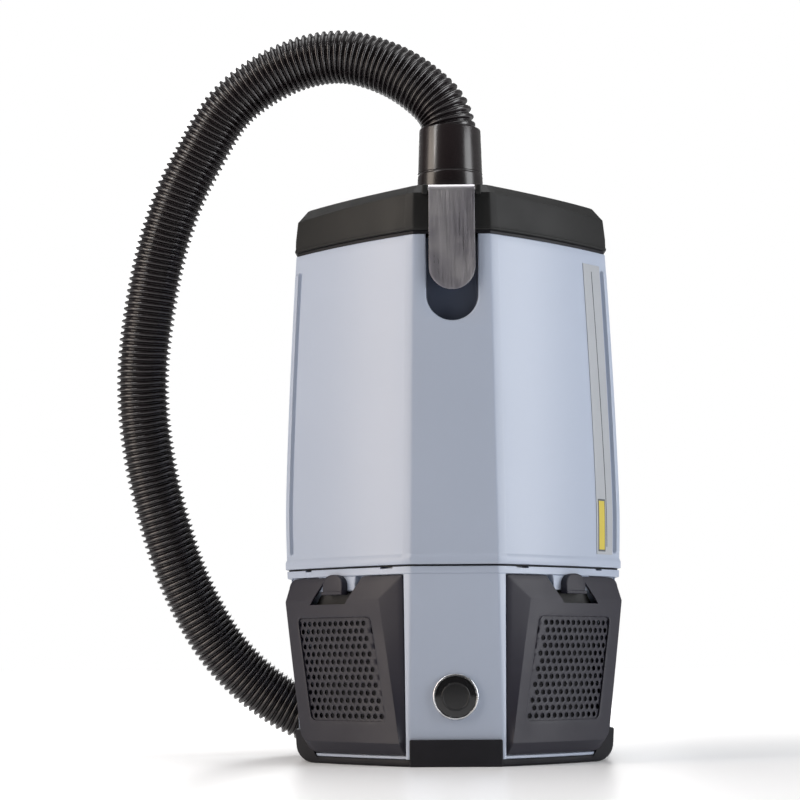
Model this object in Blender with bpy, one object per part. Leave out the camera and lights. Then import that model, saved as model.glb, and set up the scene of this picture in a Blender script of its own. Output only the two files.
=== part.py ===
"""Backpack vacuum cleaner: a tall tank over a motor housing, with a lid latched by a steel plate,
a ribbed suction hose on a swivelling cuff, two exhaust covers, and a padded harness on its back.

Units are metres and +Z is up. Every piece is modelled with the front of the body on y = 0 and the
wearer's side at larger y. The empty VacuumOrigin then centres the machine over the world origin.
"""
import bpy
import bmesh
from math import cos, hypot, pi, radians, sin, sqrt
from mathutils import Matrix, Vector

# ---- Driving dimensions -------------------------------------------------------------------------
FRONT_Y = -0.1550            # world y of the body's front plane
GAP = 0.0003                 # clearance between pieces that touch

BODY_DEPTH = 0.190           # front strip to the flat back
WIDEST_HALF = 0.1408         # half width where the tank is widest
WIDEST_Z = 0.205
TOP_HALF = 0.1317            # half width at the lid line
TOP_Z = 0.4282
BASE_HALF = 0.1300
TAPER_POWER = 1.4
STRIP_HALF_BASE = 0.0372     # half width of the flat centre strip at the floor
STRIP_TAPER = 0.0131         # how much narrower it gets for each metre of height
PANEL_SLOPE = 0.910          # side panel depth over side panel width
PANEL_TURN = radians(15)     # how far the convex side panel turns from strip to side
FOOT_ROUND = 0.014           # the sides round in under the body over this height
BACK_NARROWING = 0.004
BACK_RADIUS = 0.022
WALL = 0.003

BUMPER_TOP = 0.0055
BUMPER_RIM_TOP = 0.027
BUMPER_BLOCK_TOP = 0.0212
BUMPER_OUT = -0.0010          # bumper and lip, against the covers' outer skin
LIP_OUT = -0.0015
HOUSING_Z0 = 0.0058
HOUSING_LIP = 0.0083           # top of the housing's lip below the covers
HOUSING_Z1 = 0.1572
FLANGE_Z0 = 0.1513
COVER_RECESS = 0.006         # how far the housing's panels lie behind the covers' outer skin
SIDE_INSET = 0.003
SHELL_Z0 = 0.1588
SHELL_Z1 = 0.4260
SHELL_FLOOR = 0.1618
LID_Z0 = 0.4288
LID_CHAMFER_Z = 0.4600
LID_EDGE_Z = 0.4685
LID_TOP = 0.4720

CENTRE_Y = 0.100             # axis of the motor, the inlet and the hose cuff
COVER_Z0 = 0.0090
COVER_Z1 = 0.1506
COVER_AXIS_Z = 0.0105
COVER_AXIS_OUT = 0.004       # hinge line in front of the panel's chord

LATCH_HALF = 0.0187
LATCH_BOTTOM = 0.3797
LATCH_AXIS = (-0.0008, 0.4628)   # y, z of the latch hinge
LATCH_FACE = -0.0042
LATCH_THICK = 0.0015
RECESS_HALF = 0.0210
RECESS_BOTTOM = 0.3551
RECESS_DEPTH = 0.0115

CUFF_Z0 = 0.4783
CUFF_Z1 = 0.5375
HOSE_DIAMETER = 0.0468
HOSE_SPACING = 0.040         # distance between points along the hose

HARNESS_Y = 0.1918           # front face of the harness plate

# The hose's route by hand: out of the cuff, over to the left, down the side to the floor, and
# along the floor behind the machine.
HOSE_ROUTE = [
    (0.0000, 0.100, 0.5378), (0.0000, 0.100, 0.5470), (-0.0062, 0.100, 0.5595), (-0.0196, 0.102, 0.5730),
    (-0.0352, 0.104, 0.5857), (-0.0545, 0.108, 0.5974), (-0.0942, 0.115, 0.6100),
    (-0.1433, 0.125, 0.6023), (-0.1926, 0.135, 0.5717), (-0.2233, 0.145, 0.5243),
    (-0.2413, 0.150, 0.4892), (-0.2587, 0.160, 0.4369), (-0.2715, 0.170, 0.3663),
    (-0.2743, 0.180, 0.3136), (-0.2690, 0.190, 0.2607), (-0.2570, 0.200, 0.2076),
    (-0.2397, 0.212, 0.1544), (-0.2116, 0.225, 0.1009), (-0.1787, 0.235, 0.0640),
    (-0.1339, 0.243, 0.0345), (-0.0900, 0.247, 0.0262), (-0.0400, 0.248, 0.0262),
    (0.0200, 0.248, 0.0262), (0.0850, 0.248, 0.0262),
]
HOSE_END_CUFF_LENGTH = 0.055


# ---- Scene and materials ------------------------------------------------------------------------
for old in list(bpy.data.objects):
    bpy.data.objects.remove(old, do_unlink=True)

ORIGIN = bpy.data.objects.new("VacuumOrigin", None)
ORIGIN.location = (0.0, FRONT_Y, 0.0)
bpy.context.scene.collection.objects.link(ORIGIN)


def material(name, colour, roughness, metallic=0.0):
    """A Principled material of one colour."""
    mat = bpy.data.materials.new(name)
    mat.use_nodes = True
    shader = mat.node_tree.nodes["Principled BSDF"]
    shader.inputs["Base Color"].default_value = (*colour, 1.0)
    shader.inputs["Roughness"].default_value = roughness
    shader.inputs["Metallic"].default_value = metallic
    return mat


SHELL_GREY = material("shell_grey", (0.42, 0.47, 0.56), 0.35)
LID_BLACK = material("lid_black", (0.035, 0.036, 0.038), 0.5)
COVER_GREY = material("cover_grey", (0.055, 0.050, 0.056), 0.45)
STEEL = material("latch_steel", (0.42, 0.40, 0.38), 0.32, 1.0)
RUBBER = material("black_rubber", (0.015, 0.015, 0.017), 0.6)
HOSE_BLACK = material("hose_black", (0.030, 0.024, 0.024), 0.3)
CUFF_BLACK = material("cuff_black", (0.022, 0.017, 0.017), 0.18)
FOAM = material("filter_foam", (0.10, 0.10, 0.11), 0.95)
CLOTH = material("filter_cloth", (0.72, 0.72, 0.70), 0.9)
PAPER = material("bag_paper", (0.78, 0.72, 0.60), 0.85)
MOTOR_METAL = material("motor_metal", (0.45, 0.46, 0.48), 0.35, 1.0)
COPPER = material("motor_copper", (0.55, 0.25, 0.12), 0.4, 1.0)
CARBON = material("brush_carbon", (0.03, 0.03, 0.03), 0.7)
BADGE_SILVER = material("badge_silver", (0.65, 0.66, 0.68), 0.25, 1.0)
LABEL_GREY = material("label_grey", (0.52, 0.56, 0.55), 0.4)
PLATE_BLACK = material("plate_black", (0.030, 0.030, 0.032), 0.55)
PAD_FABRIC = material("pad_fabric", (0.028, 0.029, 0.032), 0.95)
WEBBING = material("webbing", (0.020, 0.020, 0.022), 0.9)
BUCKLE_BLACK = material("buckle_black", (0.020, 0.020, 0.021), 0.4)
SCREW_STEEL = material("screw_steel", (0.60, 0.60, 0.60), 0.3, 1.0)


# ---- Mesh helpers -------------------------------------------------------------------------------
def add_object(name, bm, mat, smooth_angle=32):
    """Link a bmesh as one named object under the machine's origin."""
    bmesh.ops.remove_doubles(bm, verts=bm.verts, dist=1e-6)
    bmesh.ops.recalc_face_normals(bm, faces=bm.faces)
    mesh = bpy.data.meshes.new(name)
    bm.to_mesh(mesh)
    bm.free()
    mesh.materials.append(mat)
    mesh.shade_smooth()
    mesh.set_sharp_from_angle(angle=radians(smooth_angle))
    obj = bpy.data.objects.new(name, mesh)
    bpy.context.scene.collection.objects.link(obj)
    obj.parent = ORIGIN
    return obj


def loft(name, rings, mat, wrap=False):
    """Skin a list of rings of equal length. Open lofts are capped, wrapped ones close on themselves."""
    bm = bmesh.new()
    rows = [[bm.verts.new(point) for point in ring] for ring in rings]
    pairs = list(zip(rows, rows[1:]))
    if wrap:
        pairs.append((rows[-1], rows[0]))
    for lower, upper in pairs:
        count = len(lower)
        for i in range(count):
            j = (i + 1) % count
            bm.faces.new((lower[i], lower[j], upper[j], upper[i]))
    if not wrap:
        bm.faces.new(list(reversed(rows[0])))
        bm.faces.new(rows[-1])
    return add_object(name, bm, mat)


def turned(name, profile, centre, mat, axis="Z", segments=32):
    """Spin a profile of (radius, height) points about an axis through centre."""
    bm = bmesh.new()
    verts = [bm.verts.new((radius, 0.0, height)) for radius, height in profile]
    edges = [bm.edges.new(pair) for pair in zip(verts, verts[1:])]
    if profile[0][0] > 0.0:
        edges.append(bm.edges.new((verts[-1], verts[0])))
    bmesh.ops.spin(bm, geom=verts + edges, axis=(0, 0, 1), cent=(0, 0, 0), angle=2 * pi,
                   steps=segments, use_merge=True)
    turn = {
        "X": Matrix.Rotation(pi / 2, 4, "Y"),
        "Y": Matrix.Rotation(-pi / 2, 4, "X"),
        "Z": Matrix.Identity(4),
    }
    bmesh.ops.transform(bm, matrix=Matrix.Translation(centre) @ turn[axis], verts=bm.verts)
    return add_object(name, bm, mat)


def ring_profile(inner, outer, low, high):
    """A rectangle for a turned washer, ring or sleeve."""
    return [(outer, low), (outer, high), (inner, high), (inner, low)]


def rod_profile(radius, low, high):
    """A half rectangle for a turned solid rod."""
    return [(0.0, high), (radius, high), (radius, low), (0.0, low)]


def block(name, low, high, mat, bevel=0.0, segments=2):
    """A box between two corners, with rounded edges if bevel is given."""
    bm = bmesh.new()
    size = [b - a for a, b in zip(low, high)]
    middle = [(a + b) / 2 for a, b in zip(low, high)]
    scale = Matrix.Diagonal((*size, 1.0))
    bmesh.ops.create_cube(bm, size=1.0, matrix=Matrix.Translation(middle) @ scale)
    if bevel:
        bmesh.ops.bevel(bm, geom=list(bm.edges), offset=bevel, segments=segments, affect="EDGES",
                        profile=0.5)
    return add_object(name, bm, mat)


def combine(obj, tool, operation):
    """Add an exact Boolean with a wire guide that isn't itself a piece."""
    tool.hide_render = True
    tool.display_type = "WIRE"
    modifier = obj.modifiers.new(operation.title(), "BOOLEAN")
    modifier.operation = operation
    modifier.solver = "EXACT"
    modifier.object = tool


def cut(obj, tool):
    combine(obj, tool, "DIFFERENCE")


def join(obj, tool):
    combine(obj, tool, "UNION")


def smooth_route(points, spacing):
    """Points a given distance apart on a smooth curve through the route's points."""
    route = [Vector(point) for point in points]
    ends = [2 * route[0] - route[1]] + route + [2 * route[-1] - route[-2]]
    fine = []
    for a, b, c, d in zip(ends, ends[1:], ends[2:], ends[3:]):
        for step in range(16):
            t = step / 16
            fine.append(0.5 * (2 * b + (c - a) * t + (2 * a - 5 * b + 4 * c - d) * t ** 2
                               + (3 * b - a - 3 * c + d) * t ** 3))
    fine.append(route[-1])
    lengths = [0.0]
    for a, b in zip(fine, fine[1:]):
        lengths.append(lengths[-1] + (b - a).length)
    count = max(2, round(lengths[-1] / spacing))
    result = []
    index = 0
    for k in range(count + 1):
        target = lengths[-1] * k / count
        while index < len(fine) - 2 and lengths[index + 1] < target:
            index += 1
        span = lengths[index + 1] - lengths[index]
        result.append(fine[index].lerp(fine[index + 1], (target - lengths[index]) / span))
    return result


def strap(name, route, across, width, thickness, mat, spacing=0.02):
    """A flat strap along a route, with its width along one fixed direction."""
    centres = smooth_route(route, spacing)
    across = Vector(across)
    rings = []
    for i, centre in enumerate(centres):
        ahead = centres[min(i + 1, len(centres) - 1)]
        behind = centres[max(i - 1, 0)]
        side = (ahead - behind).cross(across).normalized() * thickness / 2
        edge = across * width / 2
        rings.append([centre + edge + side, centre - edge + side,
                      centre - edge - side, centre + edge - side])
    return loft(name, rings, mat)


# ---- The body's plan shape ----------------------------------------------------------------------
def half_width(z):
    """Half width of the body: widest at WIDEST_Z, drawn in to the lid and base, rounded at the foot."""
    if z > WIDEST_Z:
        drop = WIDEST_HALF - TOP_HALF
        span = TOP_Z - WIDEST_Z
    else:
        drop = WIDEST_HALF - BASE_HALF
        span = WIDEST_Z
    below = max(0.0, FOOT_ROUND - z)
    rounding = FOOT_ROUND - sqrt(FOOT_ROUND ** 2 - below ** 2)
    return WIDEST_HALF - drop * (abs(z - WIDEST_Z) / span) ** TAPER_POWER - rounding


def strip_half(z):
    return STRIP_HALF_BASE - STRIP_TAPER * z


def side_depth(z):
    return (half_width(z) - strip_half(z)) * PANEL_SLOPE


def panel_point(u, z, out=0.0, side=1):
    """A point on the convex side panel: u runs from the strip (0) to the side (1), out is proud."""
    chord = Vector((half_width(z) - strip_half(z), side_depth(z)))
    radius = chord.length / (2 * sin(PANEL_TURN / 2))
    along = chord.normalized()
    outward = Vector((along.y, -along.x))
    angle = (u - 0.5) * PANEL_TURN
    place = Vector((strip_half(z), 0.0))
    place += along * radius * (sin(angle) + sin(PANEL_TURN / 2))
    place += outward * radius * (cos(angle) - cos(PANEL_TURN / 2))
    place += (outward * cos(angle) + along * sin(angle)) * out
    return Vector((side * place.x, place.y, z))


PANEL_STEPS = (0.03, 0.22, 0.41, 0.60, 0.79, 1.0)


def outline(z, panel_out=0.0, side_inset=0.0, front=0.0, panel=None):
    """The closed plan outline at height z, anticlockwise from the front right of the strip."""
    steps = panel or [(u, panel_out) for u in PANEL_STEPS]
    right = [Vector((strip_half(z), front, z))]
    right += [panel_point(u, z, out) for u, out in steps]
    right.append(Vector((half_width(z) - side_inset, side_depth(z) + 0.003, z)))
    corner_x = half_width(z) - BACK_NARROWING - side_inset - BACK_RADIUS
    corner_y = BODY_DEPTH - side_inset - BACK_RADIUS
    for k in range(4):
        angle = k * pi / 6
        right.append(Vector((corner_x + BACK_RADIUS * cos(angle), corner_y + BACK_RADIUS * sin(angle), z)))
    left = [Vector((-p.x, p.y, z)) for p in reversed(right)]
    return right + left


def inset(points, distance, z=None):
    """Move a convex outline inwards by a distance, mitred at its corners."""
    result = []
    count = len(points)
    for i, point in enumerate(points):
        before = (point - points[i - 1]).to_2d()
        after = (points[(i + 1) % count] - point).to_2d()
        n1 = Vector((-before.y, before.x)).normalized()
        n2 = Vector((-after.y, after.x)).normalized()
        mitre = (n1 + n2) / max(0.35, 1.0 + n1.dot(n2))
        result.append(Vector((point.x + mitre.x * distance, point.y + mitre.y * distance,
                              point.z if z is None else z)))
    return result


def shrink(points, distance, z):
    """Draw an outline in towards the centre axis by about a distance, at a new height."""
    result = []
    for point in points:
        reach = hypot(point.x, point.y - CENTRE_Y)
        factor = (reach - distance) / reach
        result.append(Vector((point.x * factor, CENTRE_Y + (point.y - CENTRE_Y) * factor, z)))
    return result


def panel_grid(side, layer, columns, rows):
    """Grid of points on the panel. A layer is (inner u low, high, outer u low, high, z low, high, out)."""
    inner_low, inner_high, outer_low, outer_high, z_low, z_high, out = layer
    grid = []
    for row in range(rows + 1):
        t = row / rows
        z = z_low + (z_high - z_low) * t
        inner = inner_low + (inner_high - inner_low) * t
        outer = outer_low + (outer_high - outer_low) * t
        grid.append([panel_point(inner + (outer - inner) * column / columns, z, out, side)
                     for column in range(columns + 1)])
    return grid


def panel_solid(name, side, layers, mat, columns=6, rows=4):
    """A closed solid wrapped on the side panel, through a list of nested layers."""
    bm = bmesh.new()
    grids = []
    for layer in layers:
        grids.append([[bm.verts.new(p) for p in row] for row in panel_grid(side, layer, columns, rows)])
    loops = []
    for grid in grids:
        right = [row[-1] for row in grid[1:-1]]
        left = [row[0] for row in reversed(grid[1:-1])]
        loops.append(grid[0] + right + list(reversed(grid[-1])) + left)
    for low, high in zip(loops, loops[1:]):
        for i in range(len(low)):
            j = (i + 1) % len(low)
            bm.faces.new((low[i], low[j], high[j], high[i]))
    for grid in (grids[0], grids[-1]):
        for lower, upper in zip(grid, grid[1:]):
            for i in range(columns):
                bm.faces.new((lower[i], lower[i + 1], upper[i + 1], upper[i]))
    loose = [v for v in bm.verts if not v.link_faces]
    bmesh.ops.delete(bm, geom=loose, context="VERTS")
    return add_object(name, bm, mat)


# ---- Base and motor housing ---------------------------------------------------------------------
def build_bumper():
    """Black base plate, with a block across the strip and a rim round the sides and back."""
    levels = (0.0, 0.0010, 0.0030, BUMPER_TOP)
    rings = [outline(z, panel_out=BUMPER_OUT, front=-0.0025) for z in levels]
    plate = loft("base_bumper", rings, RUBBER)
    rims = []
    first = len(PANEL_STEPS) + 1       # the outline point behind the panel's outer edge
    for z in (0.004, 0.007, 0.010, 0.014, BUMPER_RIM_TOP):
        outer = outline(z)[first:-first]
        inner = outline(z, side_inset=SIDE_INSET - GAP)[first:-first]
        rims.append(outer + list(reversed(inner)))
    join(plate, loft("bumper_rim_guide", rims, RUBBER))
    half = strip_half(0.0) - 0.0006
    join(plate, block("bumper_block_guide", (-half, -0.0040, 0.001), (half, -GAP, BUMPER_BLOCK_TOP),
                      RUBBER, 0.0008, 1))
    return plate


def build_lower_housing():
    """Motor housing: a cup whose side panels are set back for the covers, under a full flange."""
    rings = []
    for z in (HOUSING_Z0, HOUSING_LIP):
        rings.append(outline(z, panel_out=LIP_OUT, side_inset=SIDE_INSET))
    for z in (HOUSING_LIP, 0.0105, 0.014, 0.03, 0.06, 0.09, 0.12, FLANGE_Z0 - GAP):
        rings.append(outline(z, panel_out=-COVER_RECESS, side_inset=SIDE_INSET))
    rings.append(outline(FLANGE_Z0))
    rings.append(outline(HOUSING_Z1))
    rings.append(inset(outline(HOUSING_Z1, panel_out=-COVER_RECESS, side_inset=SIDE_INSET), WALL))
    for z in (0.11, 0.06, 0.014, HOUSING_Z0 + WALL):
        rings.append(inset(outline(z, panel_out=-COVER_RECESS, side_inset=SIDE_INSET), WALL))
    housing = loft("lower_housing", rings, SHELL_GREY)
    for side in (1, -1):
        window = [(0.15, 0.15, 0.85, 0.85, 0.030, 0.118, out) for out in (-0.020, 0.010)]
        cut(housing, panel_solid("exhaust_window_guide", side, window, SHELL_GREY))
    for x in (MAINS_GLAND_X, SWITCH_GLAND_X):
        cut(housing, turned("gland_hole_guide", rod_profile(GLAND_NECK + GAP, 0.170, 0.200),
                            (x, 0.0, GLAND_Z), RUBBER, "Y", 20))
    return housing


MAINS_GLAND_X = 0.070
SWITCH_GLAND_X = -0.070
GLAND_Z = 0.110
GLAND_NECK = 0.0055


def build_gland(name, x, tail):
    """Rubber gland in the housing's back: a flange inside, a neck in the hole, a ribbed tail outside."""
    back = BODY_DEPTH - SIDE_INSET
    profile = [(0.0, back + tail), (0.0036, back + tail), (0.0050, back + 0.0045), (0.0078, back + 0.0042),
               (0.0078, back + GAP), (GLAND_NECK, back + GAP), (GLAND_NECK, back - WALL - GAP),
               (0.0075, back - WALL - GAP), (0.0075, back - WALL - 0.002), (0.0, back - WALL - 0.002)]
    return turned(name, profile, (x, 0.0, GLAND_Z), RUBBER, "Y", 20)


def build_covers():
    """Two exhaust covers: shallow trays whose raised face holds a sunk grille panel."""
    for side, word in ((-1, "left"), (1, "right")):
        layers = [
            (0.065, 0.095, 0.925, 0.970, COVER_Z0 + 0.003, COVER_Z1 - 0.003, -0.0010),
            (0.045, 0.075, 0.935, 0.985, COVER_Z0 + 0.002, COVER_Z1 - 0.002, -0.0055),
            (0.030, 0.055, 0.950, 1.000, COVER_Z0, COVER_Z1, -0.0055),
            (0.030, 0.055, 0.950, 1.000, COVER_Z0, COVER_Z1, 0.0000),
            (0.050, 0.240, 0.940, 0.990, COVER_Z0 + 0.002, COVER_Z1 - 0.019, 0.0045),
            (0.190, 0.290, 0.900, 0.945, 0.034, 0.1180, 0.0045),
            (0.200, 0.300, 0.890, 0.935, 0.036, 0.1160, 0.0020),
        ]
        cover = panel_solid("exhaust_cover_" + word, side, layers, COVER_GREY, 8, 6)
        notch = [(0.430, 0.430, 0.690, 0.690, 0.1272, 0.165, out) for out in (-0.012, 0.020)]
        cut(cover, panel_solid("cover_notch_guide", side, notch, COVER_GREY, 3, 2))
        tab = [
            (0.495, 0.505, 0.645, 0.635, 0.1350, 0.1500, -0.0010),
            (0.490, 0.500, 0.650, 0.640, 0.1345, 0.1505, 0.0000),
            (0.490, 0.500, 0.650, 0.640, 0.1345, 0.1505, 0.0040),
            (0.500, 0.510, 0.640, 0.630, 0.1355, 0.1495, 0.0050),
        ]
        panel_solid("cover_latch_" + word, side, tab, COVER_GREY, 3, 3)
        pad = [(0.162, 0.162, 0.838, 0.838, 0.0315, 0.1165, out)
               for out in (-0.0190, -COVER_RECESS - 0.0005)]
        panel_solid("exhaust_filter_" + word, side, pad, FOAM, 4, 3)


def build_badge():
    """Plain round badge on the strip."""
    profile = [(0.0, -0.0030), (0.0150, -0.0030), (0.0172, -0.0024), (0.0182, -GAP), (0.0, -GAP)]
    return turned("round_badge", profile, (0.0, 0.0, 0.0545), BADGE_SILVER, "Y", 40)


# ---- Motor --------------------------------------------------------------------------------------
def build_motor():
    """Vacuum motor: housing on a rubber foot, stator, brushes, bearings, bracket, rotor and fan."""
    centre = (0.0, CENTRE_Y, 0.0)
    turned("motor_foot", ring_profile(0.030, 0.050, HOUSING_Z0 + WALL + GAP, 0.0197), centre, RUBBER)
    cup = [(0.0, 0.0200), (0.060, 0.0200), (0.060, 0.1500),
           (0.0575, 0.1500), (0.0575, 0.0225), (0.0, 0.0225)]
    can = turned("motor_housing", list(reversed(cup)), centre, PLATE_BLACK)
    for side in (1, -1):
        cut(can, block("vent_guide", (side * 0.070 - 0.020, CENTRE_Y - 0.016, 0.060),
                       (side * 0.070 + 0.020, CENTRE_Y + 0.016, 0.090), PLATE_BLACK))
        reach = sorted((side * 0.0125, side * 0.0290))
        block("carbon_brush_left" if side < 0 else "carbon_brush_right",
              (reach[0], CENTRE_Y - 0.004, 0.0345), (reach[1], CENTRE_Y + 0.004, 0.0425), CARBON)
    turned("motor_stator", ring_profile(0.0275, 0.0570, 0.0480, 0.0920), centre, COPPER)
    turned("motor_bracket", ring_profile(0.0070, 0.0570, 0.0990, 0.1030), centre, MOTOR_METAL)
    turned("bearing_lower", ring_profile(0.00405, 0.0110, 0.0228, 0.0298), centre, SCREW_STEEL, segments=24)
    turned("bearing_upper", ring_profile(0.00405, 0.0110, 0.1033, 0.1093), centre, SCREW_STEEL, segments=24)
    rotor = [(0.0, 0.0240), (0.0040, 0.0240), (0.0040, 0.0340), (0.0120, 0.0340), (0.0120, 0.0440),
             (0.0160, 0.0480), (0.0265, 0.0500), (0.0265, 0.0900), (0.0040, 0.0940), (0.0040, 0.1380),
             (0.0, 0.1380)]
    turned("motor_rotor", list(reversed(rotor)), centre, MOTOR_METAL)
    fan = [(0.0043, 0.1150), (0.0540, 0.1150), (0.0540, 0.1165), (0.0200, 0.1180), (0.0180, 0.1290),
           (0.0530, 0.1290), (0.0530, 0.1305), (0.0043, 0.1305)]
    turned("fan_impeller", list(reversed(fan)), centre, MOTOR_METAL)
    turned("motor_seal", ring_profile(0.0500, 0.0600, 0.1503, 0.1585), centre, RUBBER)


# ---- Tank and its filters -----------------------------------------------------------------------
RAIL_Z0 = 0.172
RAIL_Z1 = 0.404
RAIL_RISE = 0.0013


def shell_panel(z):
    """Panel steps at height z, with the edge groove and rib fading out at both ends."""
    rise = RAIL_RISE if RAIL_Z0 < z < RAIL_Z1 else 0.0
    return [(0.03, 0.0), (0.22, 0.0), (0.41, 0.0), (0.60, 0.0), (0.79, 0.0), (0.940, 0.0), (0.944, -rise),
            (0.956, -rise), (0.962, rise), (0.990, rise), (1.0, 0.0)]


def u_guide(name, half, z_bottom, z_top, y_front, y_back):
    """A U-shaped prism: straight sides over a half-round bottom."""
    points = [(half, z_top)]
    points += [(half * cos(-k * pi / 12), z_bottom + half + half * sin(-k * pi / 12)) for k in range(13)]
    points.append((-half, z_top))
    rings = [[Vector((x, y, z)) for x, z in points] for y in (y_front, y_back)]
    return loft(name, rings, SHELL_GREY)


def build_upper_shell():
    """Tank: a tapering cup with a foot flange, edge rails, the latch's finger recess and a motor inlet."""
    rings = []
    foot = [(SHELL_Z0, 0.0012), (SHELL_Z0 + 0.0042, 0.0012), (SHELL_Z0 + 0.0050, 0.0)]
    for z, proud in foot:
        rings.append(inset(outline(z, panel=shell_panel(z)), -proud))
    for z in (RAIL_Z0, RAIL_Z0 + 0.002, 0.205, 0.245, 0.290, 0.330, 0.370,
              RAIL_Z1 - 0.002, RAIL_Z1, SHELL_Z1):
        rings.append(outline(z, panel=shell_panel(z)))
    smooth = [(u, 0.0) for u, out in shell_panel(0.0)]
    for z in (SHELL_Z1, 0.370, 0.290, 0.205, SHELL_FLOOR):
        rings.append(inset(outline(z, panel=smooth), WALL))
    shell = loft("upper_shell", rings, SHELL_GREY)
    pocket = u_guide("recess_wall_guide", RECESS_HALF + 0.0025, RECESS_BOTTOM - 0.0025, SHELL_Z1 - 0.0005,
                     0.0015, RECESS_DEPTH + 0.0025)
    join(shell, pocket)
    cut(shell, u_guide("recess_guide", RECESS_HALF, RECESS_BOTTOM, SHELL_Z1 + 0.01, -0.01, RECESS_DEPTH))
    inlet = rod_profile(0.045, 0.140, 0.170)
    cut(shell, turned("inlet_guide", inlet, (0.0, CENTRE_Y, 0.0), SHELL_GREY))
    return shell


def rim_ring(name, z_low, z_high, outer_inset, inner_inset, mat):
    """A flat gasket that follows the body's outline."""
    rings = []
    for z, amount in ((z_low, outer_inset), (z_high, outer_inset),
                      (z_high, inner_inset), (z_low, inner_inset)):
        rings.append(inset(outline(z), amount))
    return loft(name, rings, mat, wrap=True)


def build_seals():
    rim_ring("housing_seal", HOUSING_Z1 + GAP, SHELL_Z0 - GAP, 0.0015, 0.0060, RUBBER)
    rim_ring("lid_seal", SHELL_Z1 + GAP, LID_Z0 - GAP, 0.0008, 0.0029, RUBBER)


def build_keeper():
    """Keeper that the latch's nose snaps behind, at the back of the finger recess."""
    return block("latch_keeper", (-0.010, 0.0046, 0.3925), (0.010, RECESS_DEPTH - GAP, 0.3965),
                 STEEL, 0.0006, 1)


def build_filters():
    """Foam dome over the motor inlet, cloth liner, paper bag and the bag's stiff collar."""
    dome = [(0.0, 0.200), (0.030, 0.197), (0.050, 0.186), (0.056, SHELL_FLOOR + GAP),
            (0.049, SHELL_FLOOR + GAP), (0.044, 0.181), (0.027, 0.190), (0.0, 0.192)]
    turned("motor_filter", dome, (0.0, CENTRE_Y, 0.0), FOAM)
    liner = []
    for z, amount in ((0.206, 0.022), (0.230, 0.0185), (0.390, 0.0185), (0.4120, 0.0185)):
        liner.append(inset(outline(z), amount))
    for z, amount in ((0.4120, 0.0205), (0.390, 0.0205), (0.232, 0.0205), (0.208, 0.024)):
        liner.append(inset(outline(z), amount))
    loft("cloth_filter", liner, CLOTH)
    bag = []
    for z, amount in ((0.212, 0.034), (0.228, 0.026), (0.360, 0.026), (0.3795, 0.040)):
        bag.append(inset(outline(z), amount))
    loft("filter_bag", bag, PAPER)
    collar = ring_profile(0.0240, 0.0480, 0.3798, 0.3832)
    turned("bag_collar", collar, (0.0, CENTRE_Y, 0.0), PAPER)


def build_label():
    """Blank label down the outer edge of the right panel."""
    layers = [(0.800, 0.800, 0.925, 0.925, 0.178, 0.398, out) for out in (GAP, GAP + 0.0006)]
    return panel_solid("label_strip", 1, layers, LABEL_GREY, 2, 8)


# ---- Lid, latch and cuff ------------------------------------------------------------------------
def build_lid():
    """Lid: chamfered cap, hollow below, bored for the inlet tube, with a notch and hinge lugs."""
    smooth = [(u, 0.0) for u in PANEL_STEPS]
    proud = -0.0012
    rim = outline(LID_Z0, panel=smooth)
    shoulder = inset(outline(LID_Z0, panel=smooth), 0.0012, LID_CHAMFER_Z)
    rings = [inset(rim, proud), inset(rim, proud, LID_Z0 + 0.010), shoulder,
             inset(shoulder, 0.0085, LID_EDGE_Z), shrink(shoulder, 0.040, LID_TOP)]
    inner = [inset(rim, WALL, LID_Z0), inset(rim, WALL + 0.002, 0.4540)]
    rings = [inner[1], inner[0]] + rings
    lid = loft("lid", rings, LID_BLACK)
    cut(lid, turned("lid_bore_guide", rod_profile(0.0232, 0.44, 0.49), (0.0, CENTRE_Y, 0.0), LID_BLACK,
                    segments=40))
    cut(lid, block("hinge_notch_guide", (-0.0196, -0.02, 0.4575), (0.0196, 0.0032, 0.49), LID_BLACK))
    for side in (1, -1):
        ends = sorted((side * 0.0192, side * 0.0240))
        join(lid, block("hinge_lug_guide", (ends[0], -0.0034, 0.4580), (ends[1], 0.0120, 0.4664),
                        LID_BLACK, 0.0006, 1))
    cut(lid, turned("pin_hole_guide", rod_profile(0.0015, -0.0240, 0.0240), (0.0, *LATCH_AXIS),
                    LID_BLACK, "X", 16))
    return lid


def build_lid_fittings():
    """Inlet tube through the lid, and the collar ring that the cuff turns on."""
    centre = (0.0, CENTRE_Y, 0.0)
    tube = [(0.0229, 0.3980), (0.0229, 0.4723), (0.0300, 0.4723), (0.0300, 0.4752), (0.0195, 0.4752),
            (0.0195, 0.3980)]
    turned("inlet_tube", tube, centre, LID_BLACK)
    turned("swivel_collar", ring_profile(0.0200, 0.0305, 0.4755, CUFF_Z0 - GAP), centre, MOTOR_METAL)
    turned("latch_pin", rod_profile(0.0012, -0.0230, 0.0230), (0.0, *LATCH_AXIS), SCREW_STEEL, "X", 16)


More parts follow.
